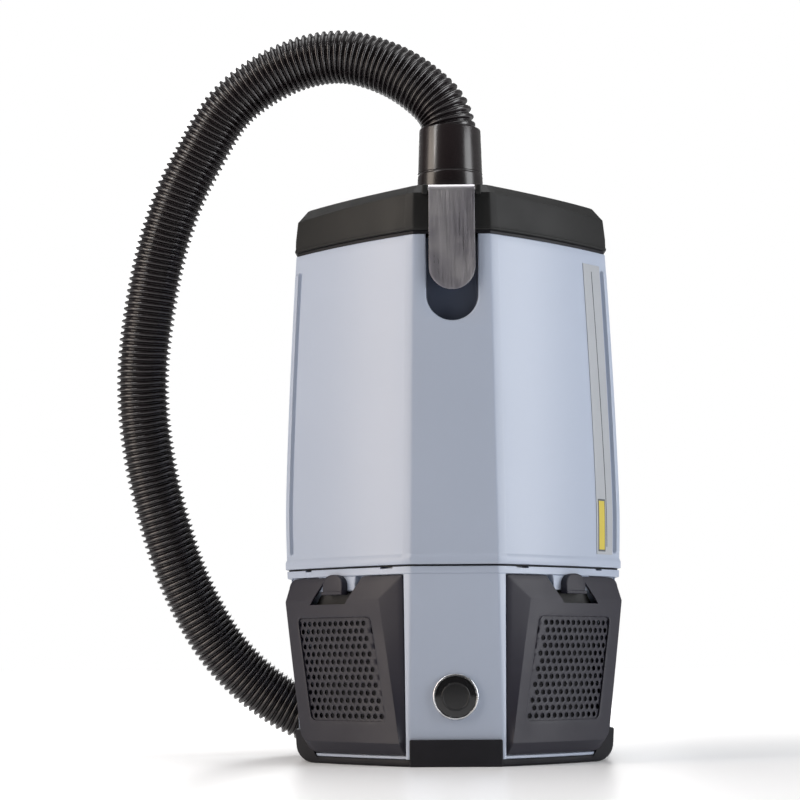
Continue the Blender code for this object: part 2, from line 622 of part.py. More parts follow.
def build_latch():
    """Steel latch plate: rounded tongue, a rolled barrel round its pin, and a nose on its back."""
    back = LATCH_FACE + LATCH_THICK
    points = [(LATCH_HALF * cos(-k * pi / 16), LATCH_BOTTOM + LATCH_HALF + LATCH_HALF * sin(-k * pi / 16))
              for k in range(17)]
    points = [(LATCH_HALF, LATCH_AXIS[1])] + points + [(-LATCH_HALF, LATCH_AXIS[1])]
    rings = [[Vector((x, y, z)) for x, z in points] for y in (LATCH_FACE, back)]
    latch = loft("latch_plate", rings, STEEL)
    barrel = rod_profile(0.0034, -LATCH_HALF, LATCH_HALF)
    join(latch, turned("latch_barrel_guide", barrel, (0.0, *LATCH_AXIS), STEEL, "X", 24))
    join(latch, block("latch_nose_guide", (-0.008, back - 0.0005, 0.3970), (0.008, 0.0042, 0.4000), STEEL))
    cut(latch, turned("latch_bore_guide", rod_profile(0.0015, -0.03, 0.03), (0.0, *LATCH_AXIS),
                      STEEL, "X", 16))
    return latch


def build_cuff():
    """Hose cuff: tapered sleeve with a seam line, turning on the lid's collar."""
    profile = [(0.0205, CUFF_Z0), (0.0288, CUFF_Z0), (0.0285, 0.4970), (0.0279, 0.4974), (0.0279, 0.4982),
               (0.0283, 0.4986), (0.0272, CUFF_Z1 - 0.001), (0.0264, CUFF_Z1), (0.0215, CUFF_Z1),
               (0.0205, 0.510)]
    return turned("hose_cuff", list(reversed(profile)), (0.0, CENTRE_Y, 0.0), CUFF_BLACK, segments=40)


def build_hose():
    """Ribbed suction hose as a plain tube along its route, and the cuff on its far end."""
    points = [Vector(HOSE_ROUTE[0])] + smooth_route(HOSE_ROUTE[1:], HOSE_SPACING)
    curve = bpy.data.curves.new("suction_hose", "CURVE")
    curve.dimensions = "3D"
    curve.bevel_depth = HOSE_DIAMETER / 2
    curve.bevel_resolution = 3
    curve.use_fill_caps = True
    curve.resolution_u = 1
    curve.materials.append(HOSE_BLACK)
    spline = curve.splines.new("POLY")
    spline.points.add(len(points) - 1)
    for target, place in zip(spline.points, points):
        target.co = (*place, 1.0)
    hose = bpy.data.objects.new("suction_hose", curve)
    bpy.context.scene.collection.objects.link(hose)
    hose.parent = ORIGIN
    end = HOSE_ROUTE[-1]
    start = end[0] + GAP
    stop = start + HOSE_END_CUFF_LENGTH
    profile = [(0.0195, start), (0.0250, start), (0.0258, start + 0.006), (0.0252, stop - 0.004),
               (0.0240, stop), (0.0195, stop)]
    turned("hose_end_cuff", list(reversed(profile)), (0.0, end[1], end[2]), CUFF_BLACK, "X", 32)
    return hose


# ---- Harness ------------------------------------------------------------------------------------
SCREW_PLACES = [(-0.084, 0.138), (0.084, 0.138), (-0.084, 0.413), (0.084, 0.413)]


def build_harness_plate():
    """Stiff back plate, held to the body by four screws, with blind cells on its inner face."""
    plate = block("harness_plate", (-0.094, HARNESS_Y, 0.1260), (0.094, HARNESS_Y + 0.008, 0.4240),
                  PLATE_BLACK, 0.003, 2)
    for x, z in SCREW_PLACES:
        cut(plate, turned("screw_hole_guide", rod_profile(0.0025, 0.18, 0.21), (x, 0.0, z),
                          PLATE_BLACK, "Y", 16))
    for number, (x, z) in enumerate(SCREW_PLACES, 1):
        low = HARNESS_Y + 0.0004
        head = HARNESS_Y + 0.008 + GAP
        profile = [(0.0, head + 0.0026), (0.0036, head + 0.0026), (0.0050, head + 0.0010), (0.0050, head),
                   (0.0021, head), (0.0021, low), (0.0, low)]
        turned("plate_screw_%d" % number, profile, (x, 0.0, z), SCREW_STEEL, "Y", 16)


def build_back_pad():
    top = HARNESS_Y + 0.008
    return block("back_pad", (-0.080, top + GAP, 0.1560), (0.080, top + 0.0240, 0.3960),
                 PAD_FABRIC, 0.008, 2)


def build_shoulder_straps():
    """Padded straps over the shoulders, each with a lower webbing and its slide adjuster."""
    for side, word in ((-1, "left"), (1, "right")):
        face = HARNESS_Y + 0.008 + GAP
        pad = [(side * 0.048, face + 0.0065, 0.4080), (side * 0.049, face + 0.020, 0.4270),
               (side * 0.051, face + 0.045, 0.4340), (side * 0.054, face + 0.068, 0.4140),
               (side * 0.057, face + 0.080, 0.3740), (side * 0.061, face + 0.083, 0.3300),
               (side * 0.066, face + 0.078, 0.2880)]
        strap("shoulder_pad_" + word, pad, (1, 0, 0), 0.052, 0.012, PAD_FABRIC)
        low = Vector(pad[-1])
        block("strap_adjuster_" + word, (low.x - 0.018, low.y - 0.005, low.z - 0.0265),
              (low.x + 0.018, low.y + 0.003, low.z - 0.0005), BUCKLE_BLACK, 0.0018, 2)
        web = [(low.x, low.y - 0.001, low.z - 0.0270), (side * 0.071, face + 0.066, 0.2400),
               (side * 0.0765, face + 0.046, 0.2200), (side * 0.080, face + 0.0285, 0.2140)]
        strap("strap_webbing_" + word, web, (1, 0, 0), 0.025, 0.0020, WEBBING, 0.012)


def build_waist_belt():
    """Two padded hip wings on the plate's foot, joined by webbing and a two-part buckle."""
    for side, word in ((-1, "left"), (1, "right")):
        face = HARNESS_Y + 0.008 + GAP
        wing = [(side * 0.0905, face + 0.0080, 0.1500), (side * 0.1060, face + 0.0200, 0.1500),
                (side * 0.1130, face + 0.0450, 0.1500), (side * 0.1080, face + 0.0720, 0.1500),
                (side * 0.0900, face + 0.0930, 0.1500)]
        strap("hip_pad_" + word, wing, (0, 0, 1), 0.084, 0.012, PAD_FABRIC)
        web = [(side * 0.0895, face + 0.0940, 0.1500), (side * 0.0700, face + 0.1040, 0.1500),
               (side * 0.0480, face + 0.1080, 0.1500), (side * 0.0290, face + 0.1090, 0.1500)]
        web[0] = (side * 0.0862, face + 0.0965, 0.1500)
        strap("belt_webbing_" + word, web, (0, 0, 1), 0.038, 0.0020, WEBBING, 0.012)
        inner, outer = sorted((side * GAP / 2, side * 0.0285))
        block("belt_buckle_" + word, (inner, face + 0.1040, 0.1290), (outer, face + 0.1140, 0.1710),
              BUCKLE_BLACK, 0.0025, 2)


build_bumper()
build_lower_housing()
build_gland("mains_gland", MAINS_GLAND_X, 0.020)
build_gland("switch_gland", SWITCH_GLAND_X, 0.016)
build_covers()
build_badge()
build_motor()
build_upper_shell()
build_seals()
build_keeper()
build_filters()
build_label()
build_lid()
build_lid_fittings()
build_latch()
build_cuff()
build_hose()
build_harness_plate()
build_back_pad()
build_shoulder_straps()
build_waist_belt()
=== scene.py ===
"""Looks of the backpack vacuum cleaner: moulded shells, perforated covers, ribbed hose and harness."""
from math import atan2, cos, hypot, pi, radians, sin, sqrt

import bmesh
import bpy
from mathutils import Matrix, Vector, noise


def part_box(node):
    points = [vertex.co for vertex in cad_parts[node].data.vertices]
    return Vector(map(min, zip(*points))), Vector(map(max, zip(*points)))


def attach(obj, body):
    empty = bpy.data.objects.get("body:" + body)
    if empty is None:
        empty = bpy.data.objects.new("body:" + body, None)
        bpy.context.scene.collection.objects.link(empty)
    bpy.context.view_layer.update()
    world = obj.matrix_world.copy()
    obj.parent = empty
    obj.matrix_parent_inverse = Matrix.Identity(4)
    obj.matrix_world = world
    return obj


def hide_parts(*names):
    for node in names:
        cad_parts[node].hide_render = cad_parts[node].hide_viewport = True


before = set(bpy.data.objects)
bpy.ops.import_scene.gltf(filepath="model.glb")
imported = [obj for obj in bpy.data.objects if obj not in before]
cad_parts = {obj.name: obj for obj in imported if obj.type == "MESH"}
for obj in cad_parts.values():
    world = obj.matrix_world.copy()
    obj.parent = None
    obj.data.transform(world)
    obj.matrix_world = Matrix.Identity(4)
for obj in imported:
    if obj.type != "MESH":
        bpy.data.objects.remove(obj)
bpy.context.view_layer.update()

# ---- Sizes taken from the frame ------------------------------------------------------------------
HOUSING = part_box("lower_housing")
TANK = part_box("upper_shell")
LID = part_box("lid")
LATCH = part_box("latch_plate")
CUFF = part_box("hose_cuff")
CLOTH_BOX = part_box("cloth_filter")
BAG_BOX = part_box("filter_bag")
DOME_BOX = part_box("motor_filter")
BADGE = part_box("round_badge")
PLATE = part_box("harness_plate")
END_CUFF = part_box("hose_end_cuff")

FRONT_Y = HOUSING[0][1]
TANK_Z0 = TANK[0][2]
TANK_Z1 = TANK[1][2]
HOUSING_Z0 = HOUSING[0][2]
HOUSING_Z1 = HOUSING[1][2]
LID_Z0 = LID[0][2]
LID_Z1 = LID[1][2]
CENTRE_Y = (CUFF[0][1] + CUFF[1][1]) / 2

# ---- The body's plan shape, as in the CAD model --------------------------------------------------
BODY_DEPTH = 0.190
WIDEST_HALF = 0.1408
WIDEST_Z = 0.205
TOP_HALF = 0.1317
TOP_Z = 0.4282
BASE_HALF = 0.1300
TAPER_POWER = 1.4
STRIP_HALF_BASE = 0.0372
STRIP_TAPER = 0.0131
PANEL_SLOPE = 0.910
PANEL_TURN = radians(15)
PANEL_ARC = 0.133            # nominal length of a panel from strip to side
FOOT_ROUND = 0.014
BACK_NARROWING = 0.004
BACK_RADIUS = 0.022
WALL = 0.003
SIDE_INSET = 0.003
COVER_RECESS = 0.006
LATCH_AXIS_Y = FRONT_Y - 0.0008
LATCH_AXIS_Z = 0.4628
RECESS_HALF = 0.0210
RECESS_BOTTOM = 0.3551
RECESS_DEPTH = 0.0115

HOSE_DIAMETER = 0.0468
HOSE_PITCH = 0.0053
# The hose's route, in metres from the body's front plane, as in the CAD model.
HOSE_ROUTE = [
    (0.0000, 0.100, 0.5378), (0.0000, 0.100, 0.5470), (-0.0062, 0.100, 0.5595), (-0.0196, 0.102, 0.5730),
    (-0.0352, 0.104, 0.5857), (-0.0545, 0.108, 0.5974), (-0.0942, 0.115, 0.6100),
    (-0.1433, 0.125, 0.6023), (-0.1926, 0.135, 0.5717), (-0.2233, 0.145, 0.5243),
    (-0.2413, 0.150, 0.4892), (-0.2587, 0.160, 0.4369), (-0.2715, 0.170, 0.3663),
    (-0.2743, 0.180, 0.3136), (-0.2690, 0.190, 0.2607), (-0.2570, 0.200, 0.2076),
    (-0.2397, 0.212, 0.1544), (-0.2116, 0.225, 0.1009), (-0.1787, 0.235, 0.0640),
    (-0.1339, 0.243, 0.0345), (-0.0900, 0.247, 0.0262), (-0.0400, 0.248, 0.0262),
    (0.0200, 0.248, 0.0262), (0.0850, 0.248, 0.0262),
]


# ---- Camera --------------------------------------------------------------------------------------
CAMERA_BACK = 1.6            # from the front plane
CAMERA_X = -0.022
CAMERA_Z = 0.0855
CAMERA_TILT = radians(7.29)
CAMERA_PAN = 0.0129
CAMERA_ROLL = radians(-0.30)
CAMERA_LENS = 90.5


def build_camera():
    data = bpy.data.cameras.new("Camera")
    data.lens = CAMERA_LENS
    data.sensor_width = 36.0
    camera = bpy.data.objects.new("Camera", data)
    bpy.context.scene.collection.objects.link(camera)
    camera.location = (CAMERA_X, FRONT_Y - CAMERA_BACK, CAMERA_Z)
    turn = Matrix.Rotation(CAMERA_PAN, 3, "Z") @ Matrix.Rotation(pi / 2 + CAMERA_TILT, 3, "X")
    camera.rotation_euler = (turn @ Matrix.Rotation(CAMERA_ROLL, 3, "Z")).to_euler()
    bpy.context.scene.camera = camera


# ---- Mesh helpers --------------------------------------------------------------------------------
def link(name, mesh, mat, body, smooth_angle=None):
    obj = bpy.data.objects.new(name, mesh)
    bpy.context.scene.collection.objects.link(obj)
    if mat is not None:
        mesh.materials.append(mat)
    mesh.shade_smooth()
    if smooth_angle:
        mesh.set_sharp_from_angle(angle=radians(smooth_angle))
    if body:
        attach(obj, body)
    return obj


def finish_mesh(name, bm, mat, body, smooth_angle=32):
    bmesh.ops.remove_doubles(bm, verts=bm.verts, dist=1e-6)
    bmesh.ops.recalc_face_normals(bm, faces=bm.faces)
    mesh = bpy.data.meshes.new(name)
    bm.to_mesh(mesh)
    bm.free()
    return link(name, mesh, mat, body, smooth_angle)


def add_rings(bm, rings, wrap=False, cap=True):
    """Skin a list of rings of equal length into a bmesh."""
    rows = [[bm.verts.new(point) for point in ring] for ring in rings]
    pairs = list(zip(rows, rows[1:]))
    if wrap:
        pairs.append((rows[-1], rows[0]))
    for lower, upper in pairs:
        count = len(lower)
        for i in range(count):
            j = (i + 1) % count
            bm.faces.new((lower[i], lower[j], upper[j], upper[i]))
    if cap and not wrap:
        bm.faces.new(list(reversed(rows[0])))
        bm.faces.new(rows[-1])
    return rows


def loft(name, rings, mat, body, wrap=False, smooth_angle=32):
    bm = bmesh.new()
    add_rings(bm, rings, wrap)
    return finish_mesh(name, bm, mat, body, smooth_angle)


def lathe(name, profile, centre, mat, body, axis="Z", segments=72, smooth_angle=40, closed=True):
    """Turn (radius, height) points about an axis; a profile off the axis closes on itself."""
    turn = {"Z": Matrix.Identity(3), "X": Matrix.Rotation(pi / 2, 3, "Y"),
            "Y": Matrix.Rotation(-pi / 2, 3, "X")}[axis]
    centre = Vector(centre)
    rings = []
    for radius, height in profile:
        ring = []
        for k in range(segments):
            angle = 2 * pi * k / segments
            ring.append(centre + turn @ Vector((radius * cos(angle), radius * sin(angle), height)))
        rings.append(ring)
    return loft(name, rings, mat, body, wrap=closed, smooth_angle=smooth_angle)


def round_bevel(obj, width, segments=2, angle=30):
    modifier = obj.modifiers.new("Bevel", "BEVEL")
    modifier.width = width
    modifier.segments = segments
    modifier.limit_method = "ANGLE"
    modifier.angle_limit = radians(angle)
    modifier.miter_outer = "MITER_ARC"
    return modifier


def cut(obj, tools, thorough=False):
    """Cut the tools out of a piece, remove them and keep crisp edges."""
    for tool in tools:
        modifier = obj.modifiers.new("Cut", "BOOLEAN")
        modifier.operation = "DIFFERENCE"
        modifier.solver = "EXACT"
        modifier.use_self = thorough
        modifier.object = tool
    graph = bpy.context.evaluated_depsgraph_get()
    mesh = bpy.data.meshes.new_from_object(obj.evaluated_get(graph))
    obj.modifiers.clear()
    old = obj.data
    obj.data = mesh
    bpy.data.meshes.remove(old)
    for tool in tools:
        bpy.data.objects.remove(tool, do_unlink=True)
    mesh.shade_smooth()
    mesh.set_sharp_from_angle(angle=radians(32))


def box_piece(name, low, high, mat, body, bevel=0.0, segments=3):
    bm = bmesh.new()
    size = [b - a for a, b in zip(low, high)]
    middle = [(a + b) / 2 for a, b in zip(low, high)]
    bmesh.ops.create_cube(bm, size=1.0, matrix=Matrix.Translation(middle) @ Matrix.Diagonal((*size, 1.0)))
    if bevel:
        bmesh.ops.bevel(bm, geom=list(bm.edges), offset=bevel, segments=segments, affect="EDGES",
                        profile=0.5)
    return finish_mesh(name, bm, mat, body, 50)


def smooth_route(points, spacing):
    """Points a given distance apart on a smooth curve through the route's points."""
    route = [Vector(point) for point in points]
    ends = [2 * route[0] - route[1]] + route + [2 * route[-1] - route[-2]]
    fine = []
    for a, b, c, d in zip(ends, ends[1:], ends[2:], ends[3:]):
        for step in range(24):
            t = step / 24
            fine.append(0.5 * (2 * b + (c - a) * t + (2 * a - 5 * b + 4 * c - d) * t ** 2
                               + (3 * b - a - 3 * c + d) * t ** 3))
    fine.append(route[-1])
    lengths = [0.0]
    for a, b in zip(fine, fine[1:]):
        lengths.append(lengths[-1] + (b - a).length)
    count = max(2, round(lengths[-1] / spacing))
    result = []
    index = 0
    for k in range(count + 1):
        target = lengths[-1] * k / count
        while index < len(fine) - 2 and lengths[index + 1] < target:
            index += 1
        span = lengths[index + 1] - lengths[index]
        result.append(fine[index].lerp(fine[index + 1], (target - lengths[index]) / span))
    return result


def relax(points, passes):
    """Ease the curvature of a line of points, holding its ends."""
    line = [point.copy() for point in points]
    for _ in range(passes):
        line = [line[0]] + [(a + 2 * b + c) / 4 for a, b, c in zip(line, line[1:], line[2:])] + [line[-1]]
    return line


# ---- Plan shape ----------------------------------------------------------------------------------
def half_width(z):
    """Half the body's width at height z."""
    if z > WIDEST_Z:
        drop = WIDEST_HALF - TOP_HALF
        span = TOP_Z - WIDEST_Z
    else:
        drop = WIDEST_HALF - BASE_HALF
        span = WIDEST_Z
    below = max(0.0, FOOT_ROUND - z)
    rounding = FOOT_ROUND - sqrt(FOOT_ROUND ** 2 - below ** 2)
    return WIDEST_HALF - drop * (abs(z - WIDEST_Z) / span) ** TAPER_POWER - rounding


def strip_half(z):
    """Half the width of the flat centre strip."""
    return STRIP_HALF_BASE - STRIP_TAPER * z


def side_depth(z):
    """How far behind the front plane the side panels end."""
    return (half_width(z) - strip_half(z)) * PANEL_SLOPE


def panel_point(u, z, out=0.0, side=1):
    """A point on the convex side panel: u runs from the strip (0) to the side (1), out is proud."""
    chord = Vector((half_width(z) - strip_half(z), side_depth(z)))
    radius = chord.length / (2 * sin(PANEL_TURN / 2))
    along = chord.normalized()
    outward = Vector((along.y, -along.x))
    angle = (u - 0.5) * PANEL_TURN
    place = Vector((strip_half(z), FRONT_Y))
    place += along * radius * (sin(angle) + sin(PANEL_TURN / 2))
    place += outward * radius * (cos(angle) - cos(PANEL_TURN / 2))
    place += (outward * cos(angle) + along * sin(angle)) * out
    return Vector((side * place.x, place.y, z))


def cover_inner_edge(z):
    """How far along the panel a cover's inner edge is: it leans away from the strip as it rises."""
    return 0.030 + 0.025 * min(1.0, max(0.0, (z - 0.009) / 0.1416))


def fillet(corners):
    """Round a polygon. Each corner is (point, cut back distance, segments)."""
    result = []
    count = len(corners)
    for i, (point, distance, segments) in enumerate(corners):
        if distance <= 0.0:
            result.append(point.copy())
            continue
        before = corners[i - 1][0] - point
        after = corners[(i + 1) % count][0] - point
        a = point + before.normalized() * min(distance, before.length * 0.48)
        b = point + after.normalized() * min(distance, after.length * 0.48)
        for k in range(segments + 1):
            t = k / segments
            result.append(a * (1 - t) ** 2 + point * (2 * t * (1 - t)) + b * t ** 2)
    return result


def body_outline(z, out=0.0, side_inset=0.0, rails=0.0, facet=True):
    """The body's filleted plan outline at height z, anticlockwise from the front."""
    right = []
    right.append((Vector((strip_half(z) - 0.0006, FRONT_Y, z)), 0.0014, 3))
    if facet:
        right.append((panel_point(0.056, z, out + 0.0003), 0.0011, 2))
        right.append((panel_point(0.070, z, out), 0.0, 1))
    else:
        wall = cover_inner_edge(z) - 0.003
        right.append((panel_point(wall - 0.004, z), 0.0004, 2))
        right.append((panel_point(wall, z, out), 0.0, 1))
    for k in range(1, 10):
        right.append((panel_point(0.070 + 0.0946 * k, z, out), 0.0, 1))
    for u, rise, soft in ((0.931, 0.0, 0.0004), (0.936, -rails, 0.0004), (0.948, -rails, 0.0004),
                          (0.955, rails, 0.0004), (0.986, rails, 0.0006), (0.994, 0.0, 0.0006)):
        right.append((panel_point(u, z, out + rise), soft, 2))
    right.append((panel_point(1.0, z, out), 0.0006, 2))
    right.append((Vector((half_width(z) - side_inset, FRONT_Y + side_depth(z) + 0.003, z)), 0.0015, 2))
    back_x = half_width(z) - BACK_NARROWING - side_inset
    right.append((Vector((back_x, FRONT_Y + BODY_DEPTH - side_inset, z)), BACK_RADIUS, 8))
    left = [(Vector((-p.x, p.y, p.z)), d, n) for p, d, n in reversed(right)]
    return fillet(right + left)


def inset(points, distance, z=None):
    """Move an outline inwards by a distance, mitred at its corners."""
    result = []
    count = len(points)
    for i, point in enumerate(points):
        before = (point - points[i - 1]).to_2d()
        after = (points[(i + 1) % count] - point).to_2d()
        n1 = Vector((-before.y, before.x)).normalized()
        n2 = Vector((-after.y, after.x)).normalized()
        mitre = (n1 + n2) / max(0.35, 1.0 + n1.dot(n2))
        result.append(Vector((point.x + mitre.x * distance, point.y + mitre.y * distance,
                              point.z if z is None else z)))
    return result


def shrink(points, distance, z):
    """Draw an outline towards the centre axis by about a distance, at a new height."""
    result = []
    for point in points:
        reach = hypot(point.x, point.y - CENTRE_Y)
        factor = (reach - distance) / reach
        result.append(Vector((point.x * factor, CENTRE_Y + (point.y - CENTRE_Y) * factor, z)))
    return result


# ---- Materials -----------------------------------------------------------------------------------
class Nodes:
    """A small builder for a Principled material with procedural detail."""

    def __init__(self, name):
        self.mat = bpy.data.materials.new(name)
        self.mat.use_nodes = True
        self.tree = self.mat.node_tree
        self.shader = self.tree.nodes["Principled BSDF"]
        self.coords = self.tree.nodes.new("ShaderNodeTexCoord").outputs["Object"]

    def add(self, kind, **values):
        node = self.tree.nodes.new(kind)
        for key, value in values.items():
            setattr(node, key, value)
        return node

    def join(self, source, target):
        self.tree.links.new(source, target)

    def scaled(self, scale):
        mapping = self.add("ShaderNodeMapping")
        mapping.inputs["Scale"].default_value = scale
        self.join(self.coords, mapping.inputs["Vector"])
        return mapping.outputs["Vector"]

    def noise(self, scale, detail=3.0, vector=None, roughness=0.5):
        node = self.add("ShaderNodeTexNoise")
        node.inputs["Scale"].default_value = scale
        node.inputs["Detail"].default_value = detail
        node.inputs["Roughness"].default_value = roughness
        self.join(vector or self.coords, node.inputs["Vector"])
        return node.outputs["Fac"]

    def spread(self, value, low, high, from_low=0.3, from_high=0.7):
        node = self.add("ShaderNodeMapRange")
        node.inputs["From Min"].default_value = from_low
        node.inputs["From Max"].default_value = from_high
        node.inputs["To Min"].default_value = low
        node.inputs["To Max"].default_value = high
        self.join(value, node.inputs["Value"])
        return node.outputs["Result"]

    def math(self, operation, a, b):
        node = self.add("ShaderNodeMath", operation=operation)
        for socket, value in zip(node.inputs, (a, b)):
            if isinstance(value, (int, float)):
                socket.default_value = value
            else:
                self.join(value, socket)
        return node.outputs["Value"]

    def mix(self, factor, a, b):
        node = self.add("ShaderNodeMix", data_type="RGBA")
        for socket, value in ((node.inputs[0], factor), (node.inputs[6], a), (node.inputs[7], b)):
            if isinstance(value, (int, float)):
                socket.default_value = value
            elif isinstance(value, tuple):
                socket.default_value = (*value, 1.0)
            else:
                self.join(value, socket)
        return node.outputs[2]

    def colour(self, socket):
        self.join(socket, self.shader.inputs["Base Color"])

    def rough(self, socket):
        self.join(socket, self.shader.inputs["Roughness"])

    def bump(self, height, strength, distance):
        node = self.add("ShaderNodeBump")
        node.inputs["Strength"].default_value = strength
        node.inputs["Distance"].default_value = distance
        self.join(height, node.inputs["Height"])
        self.join(node.outputs["Normal"], self.shader.inputs["Normal"])

    def fixed(self, **values):
        for key, value in values.items():
            self.shader.inputs[key.replace("_", " ")].default_value = value


def tint(colour, factor):
    return tuple(min(1.0, channel * factor) for channel in colour)


def plastic(name, colour, rough, grain=0.00004, grain_scale=2600.0, variation=0.05, wear=0.0, smudge=0.06,
            specular=0.5, coat=0.0):
    """Moulded plastic: faint colour drift, smudged gloss, a fine spark texture and rubbed edges."""
    n = Nodes(name)
    drift = n.spread(n.noise(9.0, 2.0), 0.0, 1.0)
    base = n.mix(drift, tint(colour, 1.0 - variation), tint(colour, 1.0 + variation))
    fine = n.noise(grain_scale, 2.0)
    base = n.mix(n.spread(fine, 0.0, 0.10), base, tint(colour, 0.72))
    if wear:
        edge = n.add("ShaderNodeNewGeometry").outputs["Pointiness"]
        mask = n.spread(edge, 0.0, wear, 0.53, 0.62)
        mask = n.math("MULTIPLY", mask, n.spread(n.noise(160.0, 4.0), 0.25, 1.0))
        base = n.mix(mask, base, tint(colour, 2.2))
    n.colour(base)
    clouds = n.noise(26.0, 5.0)
    n.rough(n.spread(clouds, rough - smudge, rough + smudge))
    n.bump(fine, 0.35, grain)
    n.fixed(Specular_IOR_Level=specular)
    if coat:
        n.fixed(Coat_Weight=coat, Coat_Roughness=0.12)
    return n.mat


def rubber(name, colour, rough=0.6):
    """Matte rubber with dust in its pores."""
    n = Nodes(name)
    dust = n.spread(n.noise(55.0, 5.0), 0.0, 0.35)
    n.colour(n.mix(dust, colour, tint(colour, 2.2)))
    n.rough(n.spread(n.noise(18.0, 3.0), rough - 0.08, rough + 0.1))
    n.bump(n.noise(1800.0, 2.0), 0.4, 0.00005)
    n.fixed(Specular_IOR_Level=0.32)
    return n.mat


def brushed(name, colour, rough=0.30, scale=(1500.0, 1500.0, 18.0)):
    """Brushed steel: long fine scratches along one axis, over soft cloudy stains."""
    n = Nodes(name)
    lines = n.noise(1.0, 3.0, n.scaled(scale), 0.7)
    stain = n.spread(n.noise(38.0, 4.0), 0.0, 1.0)
    base = n.mix(stain, tint(colour, 0.86), tint(colour, 1.08))
    n.colour(n.mix(n.spread(lines, 0.0, 0.16), base, tint(colour, 0.72)))
    n.rough(n.math("ADD", n.spread(lines, rough - 0.04, rough + 0.08), n.spread(stain, 0.0, 0.06, 0.0, 1.0)))
    n.bump(lines, 0.22, 0.00003)
    n.fixed(Metallic=1.0)
    return n.mat


def metal(name, colour, rough=0.3):
    """Plain machined or cast metal with a mottled surface."""
    n = Nodes(name)
    n.colour(n.mix(n.spread(n.noise(90.0, 4.0), 0.0, 1.0), tint(colour, 0.85), tint(colour, 1.1)))
    n.rough(n.spread(n.noise(240.0, 3.0), rough - 0.08, rough + 0.10))
    n.bump(n.noise(1400.0, 3.0), 0.3, 0.00004)
    n.fixed(Metallic=1.0)
    return n.mat


def woven(name, colour, thread, ribs=(1.0, 0.0, 1.0), rough=0.9, depth=0.0004, sheen=0.25):
    """Woven cloth: crossed threads with painted shade between them, colour drift and loose fuzz."""
    n = Nodes(name)
    split = n.add("ShaderNodeSeparateXYZ")
    n.join(n.coords, split.inputs["Vector"])
    across = n.math("ADD", n.math("MULTIPLY", split.outputs["X"], ribs[0]),
                    n.math("MULTIPLY", split.outputs["Y"], ribs[1]))
    upward = n.math("MULTIPLY", split.outputs["Z"], ribs[2])
    turns = 2 * pi / thread
    warp = n.math("SINE", n.math("MULTIPLY", across, turns), 0.0)
    weft = n.math("SINE", n.math("MULTIPLY", upward, turns), 0.0)
    weave = n.math("MULTIPLY", warp, weft)
    fuzz = n.noise(900.0, 4.0)
    # The weave's gaps are darker and its crossings lighter: painted shade of the threads, times the fuzz's
    # random tone.
    shade = n.math("MULTIPLY", n.spread(weave, 0.0, 1.0, -1.0, 1.0), n.spread(fuzz, 0.6, 1.0))
    n.colour(n.mix(shade, tint(colour, 0.55), tint(colour, 1.5)))
    n.rough(n.spread(fuzz, rough - 0.08, min(1.0, rough + 0.08)))
    n.bump(n.math("ADD", weave, n.spread(fuzz, 0.0, 0.8)), 0.6, depth)
    n.fixed(Sheen_Weight=sheen, Sheen_Roughness=0.5, Specular_IOR_Level=0.25)
    return n.mat


def mesh_fabric(name, colour, cell=0.0026, rough=0.92):
    """Spacer mesh of a harness pad: round cells knitted through a soft face, their holes darkened as painted
    shade.
    """
    n = Nodes(name)
    cells = n.add("ShaderNodeTexVoronoi")
    cells.inputs["Scale"].default_value = 1.0 / cell
    cells.inputs["Randomness"].default_value = 0.25
    n.join(n.coords, cells.inputs["Vector"])
    hole = n.spread(cells.outputs["Distance"], 1.0, 0.0, 0.12, 0.42)
    fuzz = n.noise(1100.0, 4.0)
    # The cells' holes are painted darker: painted shade inside the knit's open cells.
    n.colour(n.mix(n.math("MULTIPLY", hole, n.spread(fuzz, 0.7, 1.0)), tint(colour, 1.5),
                   tint(colour, 0.35)))
    n.rough(n.spread(fuzz, rough - 0.1, 1.0))
    n.bump(n.math("SUBTRACT", n.spread(fuzz, 0.0, 0.5), hole), 0.7, 0.0005)
    n.fixed(Sheen_Weight=0.3, Sheen_Roughness=0.5, Specular_IOR_Level=0.2)
    return n.mat


def foam(name, colour):
    """Open-cell filter foam, its pores darkened as painted shade."""
    n = Nodes(name)
    cells = n.add("ShaderNodeTexVoronoi")
    cells.inputs["Scale"].default_value = 700.0
    n.join(n.coords, cells.inputs["Vector"])
    # Darker in the cells' middles: painted shade in the foam's pores.
    n.colour(n.mix(n.spread(cells.outputs["Distance"], 0.0, 1.0, 0.1, 0.6), tint(colour, 0.4),
                   tint(colour, 1.4)))
    n.rough(n.spread(n.noise(80.0), 0.85, 1.0))
    n.bump(cells.outputs["Distance"], 0.7, 0.0006)
    return n.mat


def paper(name, colour):
    """Fibrous filter paper."""
    n = Nodes(name)
    fibre = n.noise(1.0, 5.0, n.scaled((600.0, 900.0, 220.0)), 0.7)
    n.colour(n.mix(n.spread(fibre, 0.0, 1.0), tint(colour, 0.86), tint(colour, 1.08)))
    n.rough(n.spread(fibre, 0.8, 0.95))
    n.bump(fibre, 0.4, 0.0002)
    return n.mat


